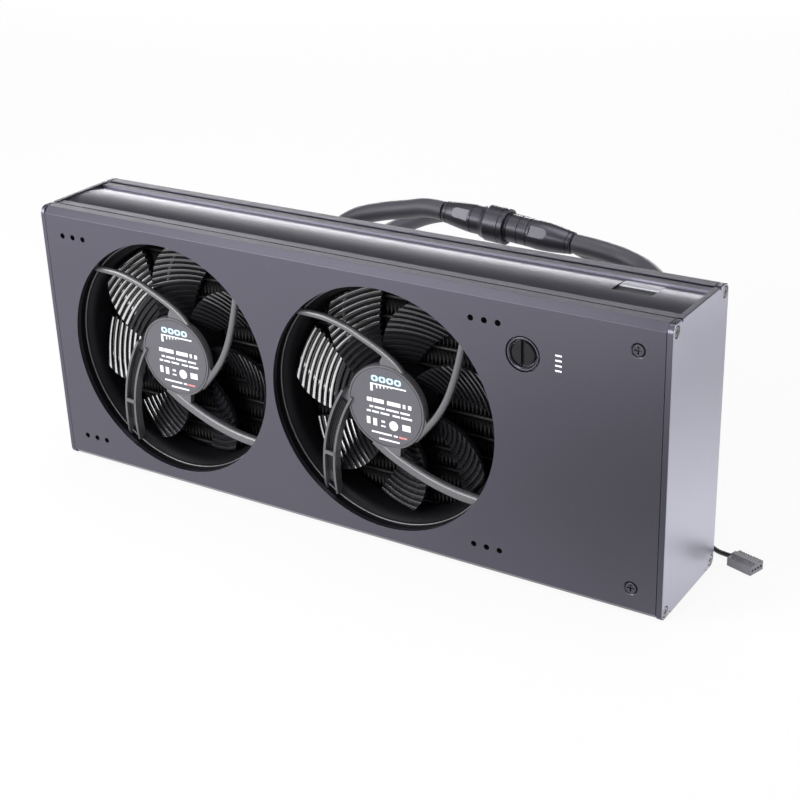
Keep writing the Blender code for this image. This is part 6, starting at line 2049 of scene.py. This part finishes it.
    def cover_section(self) -> list[Pair]:
        """A cover's section across the case, with heights from the case's top.

        Returns:
            The section's corners.
        """
        steps = 40
        wide, crown_half = self.channel_half, self.crown_half
        slope = (wide - crown_half) / 3
        side = [
            (self.cover_half, -self.cover_drop), (wide, -self.cover_drop),
            (wide - slope, -self.channel_drop), (crown_half + slope, -self.channel_drop),
        ]
        crown = []
        for i in range(steps + 1):
            across = 1 - 2 * i / steps
            rise = (self.crown_edge - self.cover_drop) * (1 - across**2)
            crown.append((crown_half * across, rise - self.crown_edge))
        below = FIT_GAP - self.ledge_depth
        other = [(-y, z) for y, z in reversed(side)]
        return [(self.cover_half, below), *side, *crown, *other, (-self.cover_half, below)]

    def make_cover(self, upward: bool) -> None:
        """A cover: two flat rails, two channels and a low crown; the window's seat in the top.

        Args:
            upward: True for the top cover, False for the bottom one.
        """
        base, way, name = ((0.0, -1, "bottom_cover"), (self.height, 1, "top_cover"))[upward]
        section = [(y, base + way * z) for y, z in self.cover_section()]
        shape = moved(raised(section, -self.half, self.half), self.along)
        if upward:
            shape = self.seat_window(shape)
        make_piece(f"{name}_shell", shape, CASE_ANODISED, (name,), COVER_EDGE)

    def seat_window(self, shape: bmesh.types.BMesh) -> bmesh.types.BMesh:
        """Add the window's pad under the top cover, and cut its pocket and well.

        Args:
            shape: The cover.

        Returns:
            The cover with the seat in it.
        """
        top, ledge = self.height, self.window_ledge
        floor = top - self.window_drop - self.pane - FIT_GAP
        for margin, low, high, how in (
            (2 * ledge, -self.window_pad, self.pad_overlap - self.ledge_depth, Cut.TOGETHER),
            (FIT_GAP, floor - top, self.well_reach, Cut.AWAY),
            (-ledge, -self.well_depth, self.well_reach, Cut.AWAY),
        ):
            (near_x, near_y), (far_x, far_y) = self.window_low, self.window_high
            cutter = block(
                (near_x - margin, near_y - margin, top + low),
                (far_x + margin, far_y + margin, top + high),
            )
            shape = combined(shape, cutter, how)
        return shape

    def make_gap_shades(self, upward: bool) -> None:
        """Two dark strips in the gaps beside a cover: painted shade, for the shadow in the gaps.

        Args:
            upward: True for the top cover, False for the bottom one.
        """
        far, gap = self.back - self.land, self.gap_shade_clearance
        length = 2 * (self.half - self.gap_shade_end)
        ends = (self.height - self.ledge_depth, self.height - self.gap_shade_drop)
        if not upward:
            ends = (self.gap_shade_drop, self.ledge_depth)
        strips = []
        for side in (-1, 1):
            near, out = sorted((side * (self.cover_half + gap), side * (far - gap)))
            strips.append(block((-length / 2, near, ends[0]), (length / 2, out, ends[1])))
        make_piece(("bottom", "top")[upward] + "_cover_gap_shades", gather(strips), RUBBER_AND_GAP_SHADE)

    def make_pane(self) -> None:
        """The level window: a glossy pane, domed across the case, and a dark strip before it,
        painted shade where the window's front lies in shadow.
        """
        floor = self.height - self.window_drop - self.pane
        low, high = self.window_low[1], self.window_high[1]
        split = low + (high - low) * self.pane_split
        face = floor + self.pane
        dome = [
            (high + (split - high) * s, face + self.pane_rise + self.dome * (1 - (1 - s) ** 2))
            for s in (i / 12 for i in range(13))
        ]
        # Painted shade: the black strip stands for the shadow over the window's front part.
        level = face + self.shade_strip_rise
        strip = [(low, floor), (split, floor), (split, level), (low, level)]
        for name, section, finish in (
            ("window_pane", [(split, floor), (high, floor), *dome], GLOSS_PANE_PAINTED_REFLECTION),
            ("window_shade_strip", strip, SATIN_BLACK),
        ):
            shape = raised(section, self.window_low[0], self.window_high[0])
            make_piece(
                name, moved(shape, self.along), finish, ("level_window",),
                COVER_EDGE, 25,
            )


@dataclass
class EndPlate:
    """An end plate: a face painted light, for the light from the right, on a dark edge, notched at
    the cover gaps, and four screws.
    """

    side: str
    direction: int
    corner: float = 0.0043
    notch: Pair = (0.0016, 0.0012)
    notch_inset: float = 0.0101
    head: Pair = (0.0026, 0.0012)
    shank: float = 0.0015
    shank_length: float = 0.0127
    head_gap: float = 0.0005
    skin: float = 0.0003
    inset: float = 0.0004

    def __post_init__(self) -> None:
        """Take the plate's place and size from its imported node."""
        low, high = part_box(f"end_plate_{self.side}")
        self.outer = high.x if self.direction > 0 else low.x
        self.thickness = high.x - low.x
        self.half_y, self.height = (high.y - low.y) / 2, high.z - low.z
        self.facing = Facing.TO_RIGHT if self.direction > 0 else Facing.TO_LEFT

    def build(self) -> None:
        """Make the plate and its screws."""
        cuts = []
        places = [
            (self.outer, side * (self.half_y - self.corner), z)
            for side in (-1, 1) for z in (self.corner, self.height - self.corner)
        ]
        radius, depth = self.head
        wide, narrow = radius + self.head_gap, self.shank + FIT_GAP
        seat = [
            (0, CUT_PAST), (wide, CUT_PAST), (wide, -depth - FIT_GAP),
            (narrow, -depth - FIT_GAP), (narrow, -CUT_REACH), (0, -CUT_REACH),
        ]
        for place in places:
            cuts.append(moved(turned(seat, 32, False), self.facing.at(place)))
        cutter = gather(cuts)
        layers = (
            # The thin face layer carries the painted light; the edge keeps the case's dark
            # anodising.
            ("edge", 0.0, (-self.thickness, -self.skin), CASE_ANODISED, 0.0004),
            ("face", self.inset, (-self.skin - 0.0001, 0.0), LIT_PLATE_ANODISED, 0.0001),
        )
        for label, inset, ends, finish, edge in layers:
            low, high = sorted(self.direction * end for end in ends)
            shape = raised(self.outline(inset), low, high)
            shape = moved(shape, Facing.TO_RIGHT.at((self.outer, 0, 0)))
            shape = combined(shape, cutter.copy(), Cut.AWAY)
            make_piece(
                f"{self.side}_plate_{label}", shape, finish, (f"end_plate_{self.side}",),
                Rounding(edge, 3, 40),
            )
        for number, place in enumerate(places, 1):
            screw = moved(
                cross_screw(radius, depth, self.shank, self.shank_length), self.facing.at(place)
            )
            node = f"{self.side}_plate_screw_{number}"
            make_piece(f"{node}_body", screw, SCREW_METAL, (node,), FINEST_EDGE)

    def outline(self, inset: float) -> list[Pair]:
        """The plate's outline: round corners about the screws and a notch at each cover gap.

        Args:
            inset: How far it lies inside the plate's full outline.

        Returns:
            Its corners.
        """
        half_z = self.height / 2 - inset
        middle = self.half_y - self.notch_inset
        width, depth = self.notch
        notch = [
            (middle + width / 2, half_z), (middle + width / 2, half_z - depth),
            (middle - width / 2, half_z - depth), (middle - width / 2, half_z),
        ]
        radius = self.corner - inset
        centre = (self.half_y - self.corner, half_z - radius)
        quarter = arc(centre, radius, 0, 90, 12) + notch
        top = quarter + [(-y, z) for y, z in reversed(quarter)]
        return [(y, z + self.height / 2) for y, z in top + [(-y, -z) for y, z in top]]


def cross_screw(head: float, head_depth: float, shank: float, length: float,
                sunk: float = 0.0) -> bmesh.types.BMesh:
    """A screw that points down from the drawing plane, with a cross recess in its head.

    Args:
        head: Radius of the head.
        head_depth: Its depth.
        shank: Radius of the shank.
        length: Length of the whole screw.
        sunk: How much narrower the head's underside is, for a countersunk one.

    Returns:
        The screw's mesh.
    """
    profile = [
        (0, 0), (head - 0.0002, 0), (head, -0.0002), (head - sunk, -head_depth),
        (shank, -head_depth), (shank, -length), (0, -length),
    ]
    arm, half, depth = head * 0.68, head * 0.13, head_depth * 0.8
    shape = turned(profile, 40, False)
    for x, y in ((arm, half), (half, arm)):
        shape = combined(shape, block((-x, -y, -depth), (x, y, CUT_PAST)), Cut.AWAY)
    return shape


def make_front_screws() -> None:
    """The two countersunk screws in the front panel."""
    for name in ("bottom", "top"):
        node = f"panel_screw_{name}"
        low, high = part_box(node)
        place = front_middle(low, high)
        radius = (high.x - low.x) / 2
        head, shank = 0.0017, 0.0015
        screw = cross_screw(radius, head, shank, high.y - low.y, radius - shank)
        make_piece(
            f"{node}_body", moved(screw, Facing.TO_FRONT.at(place)), BLACK_SCREW, (node,),
            FINEST_EDGE,
        )


@dataclass
class FillPort:
    """The ring in the front panel and the slotted plug that closes the reservoir."""

    ring_radius: float = 0.0086
    ring_bore: float = 0.0072
    plug_radius: float = 0.0064
    head: float = 0.0017
    shank: float = 0.0050
    slot: Pair = (0.0019, 0.00138)
    index: Pair = (0.0009, 0.0007)

    def build(self) -> None:
        """Make the ring with its index notch, and the plug."""
        low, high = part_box("fill_ring")
        place = front_middle(low, high)
        depth = high.y - low.y
        ring = [
            (self.ring_bore, -0.0009), (self.ring_bore + 0.0006, 0), (self.ring_radius - 0.0003, 0),
            (self.ring_radius, -0.0003), (self.ring_radius, -depth), (self.ring_bore, -depth),
        ]
        width, cut = self.index
        low_x, high_x = self.ring_radius - 0.0009, self.ring_radius + CUT_PAST
        notch = block((low_x, -width / 2, -cut), (high_x, width / 2, CUT_PAST))
        shape = combined(turned(ring, 96), notch, Cut.AWAY)
        make_piece(
            "fill_port_ring", moved(shape, Facing.TO_FRONT.at(place)), CASE_ANODISED,
            ("fill_ring",), FINEST_EDGE, 25,
        )
        low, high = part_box("fill_plug")
        place = front_middle(low, high)
        radius, end = self.plug_radius, low.y - high.y
        plug = [
            (0, 0), (radius - 0.0005, 0), (radius, -0.0005), (radius, -self.head),
            (self.shank, -self.head), (self.shank, end), (0, end),
        ]
        width, cut = self.slot
        slot = block((-width / 2, -2 * radius, -cut), (width / 2, 2 * radius, CUT_PAST))
        shape = combined(turned(plug, 80, False), slot, Cut.AWAY)
        make_piece(
            "fill_port_plug", moved(shape, Facing.TO_FRONT.at(place)), RING_DARK,
            ("fill_plug",), FINE_EDGE, 25, "fill_plug",
        )


@dataclass
class Radiator:
    """The radiator's core: flat tubes with round edges and folded fins between them."""

    tubes: int = 12
    tube: float = 0.0022
    fin: float = 0.0001
    fold: float = 0.0024
    recess: float = 0.0006
    end_share: float = 0.001

    def build(self) -> None:
        """Make the tubes and the fins."""
        low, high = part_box("radiator_core")
        pitch = (high.z - low.z) / self.tubes
        half_y, radius = (high.y - low.y) / 2, self.tube / 2
        middle = (low.y + high.y) / 2
        section = arc((half_y - radius, 0), radius, -90, 90, 8)
        section += arc((radius - half_y, 0), radius, 90, 270, 8)
        bars = []
        for number in range(self.tubes):
            place = (0, middle, low.z + (number + 0.5) * pitch)
            bars.append(moved(raised(section, low.x, high.x), Facing.TO_RIGHT.at(place)))
        make_piece("radiator_tubes", gather(bars), RADIATOR_BLACK, ("radiator_core",))
        self.add_fins(low, high, pitch)

    def add_fins(self, low: Vector, high: Vector, pitch: float) -> None:
        """The folded strips that fill the gaps between the tubes.

        Args:
            low: The core's low corner.
            high: The core's high corner.
            pitch: Distance between the tubes.
        """
        folds = round((high.x - low.x) / self.fold) * 2
        margin = self.end_share
        shape = bmesh.new()
        for number in range(self.tubes + 1):
            start = max(low.z, low.z + (number - 0.5) * pitch + self.tube / 2)
            end = min(high.z, low.z + (number + 0.5) * pitch - self.tube / 2)
            grown = bmesh.ops.create_grid(shape, x_segments=folds, y_segments=1, size=0.5)
            for vert in grown["verts"]:
                step = round((vert.co.x + 0.5) * folds)
                vert.co = (
                    low.x + (high.x - low.x) * (margin + (1 - 2 * margin) * step / folds),
                    (low.y + self.recess, high.y - self.recess)[vert.co.y > 0],
                    (start + self.fin, end - self.fin)[step % 2],
                )
        bmesh.ops.recalc_face_normals(shape, faces=shape.faces)
        piece = make_piece("radiator_fins", shape, FIN_BLACK)
        thick = piece.modifiers.new("thickness", "SOLIDIFY")
        thick.thickness = self.fin
        thick.offset = 0.0


def main() -> None:
    """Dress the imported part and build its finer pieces."""
    logging.basicConfig(level=logging.INFO, format="%(name)s: %(message)s")
    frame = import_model()
    Studio().build()
    make_cords()
    dress_nodes(frame)
    for node, place in (("supply_fitting", (0.1443, 0.1235)), ("return_fitting", (0.1129, 0.0825))):
        Fitting(node, place).build()
    CaseShell().build()
    EndPlate("left", -1).build()
    EndPlate("right", 1).build()
    make_front_screws()
    FillPort().build()
    Radiator().build()
    for name, turn in ROTOR_TURNS.items():
        Fan(name, turn).build()


if __name__ == "__main__":
    main()
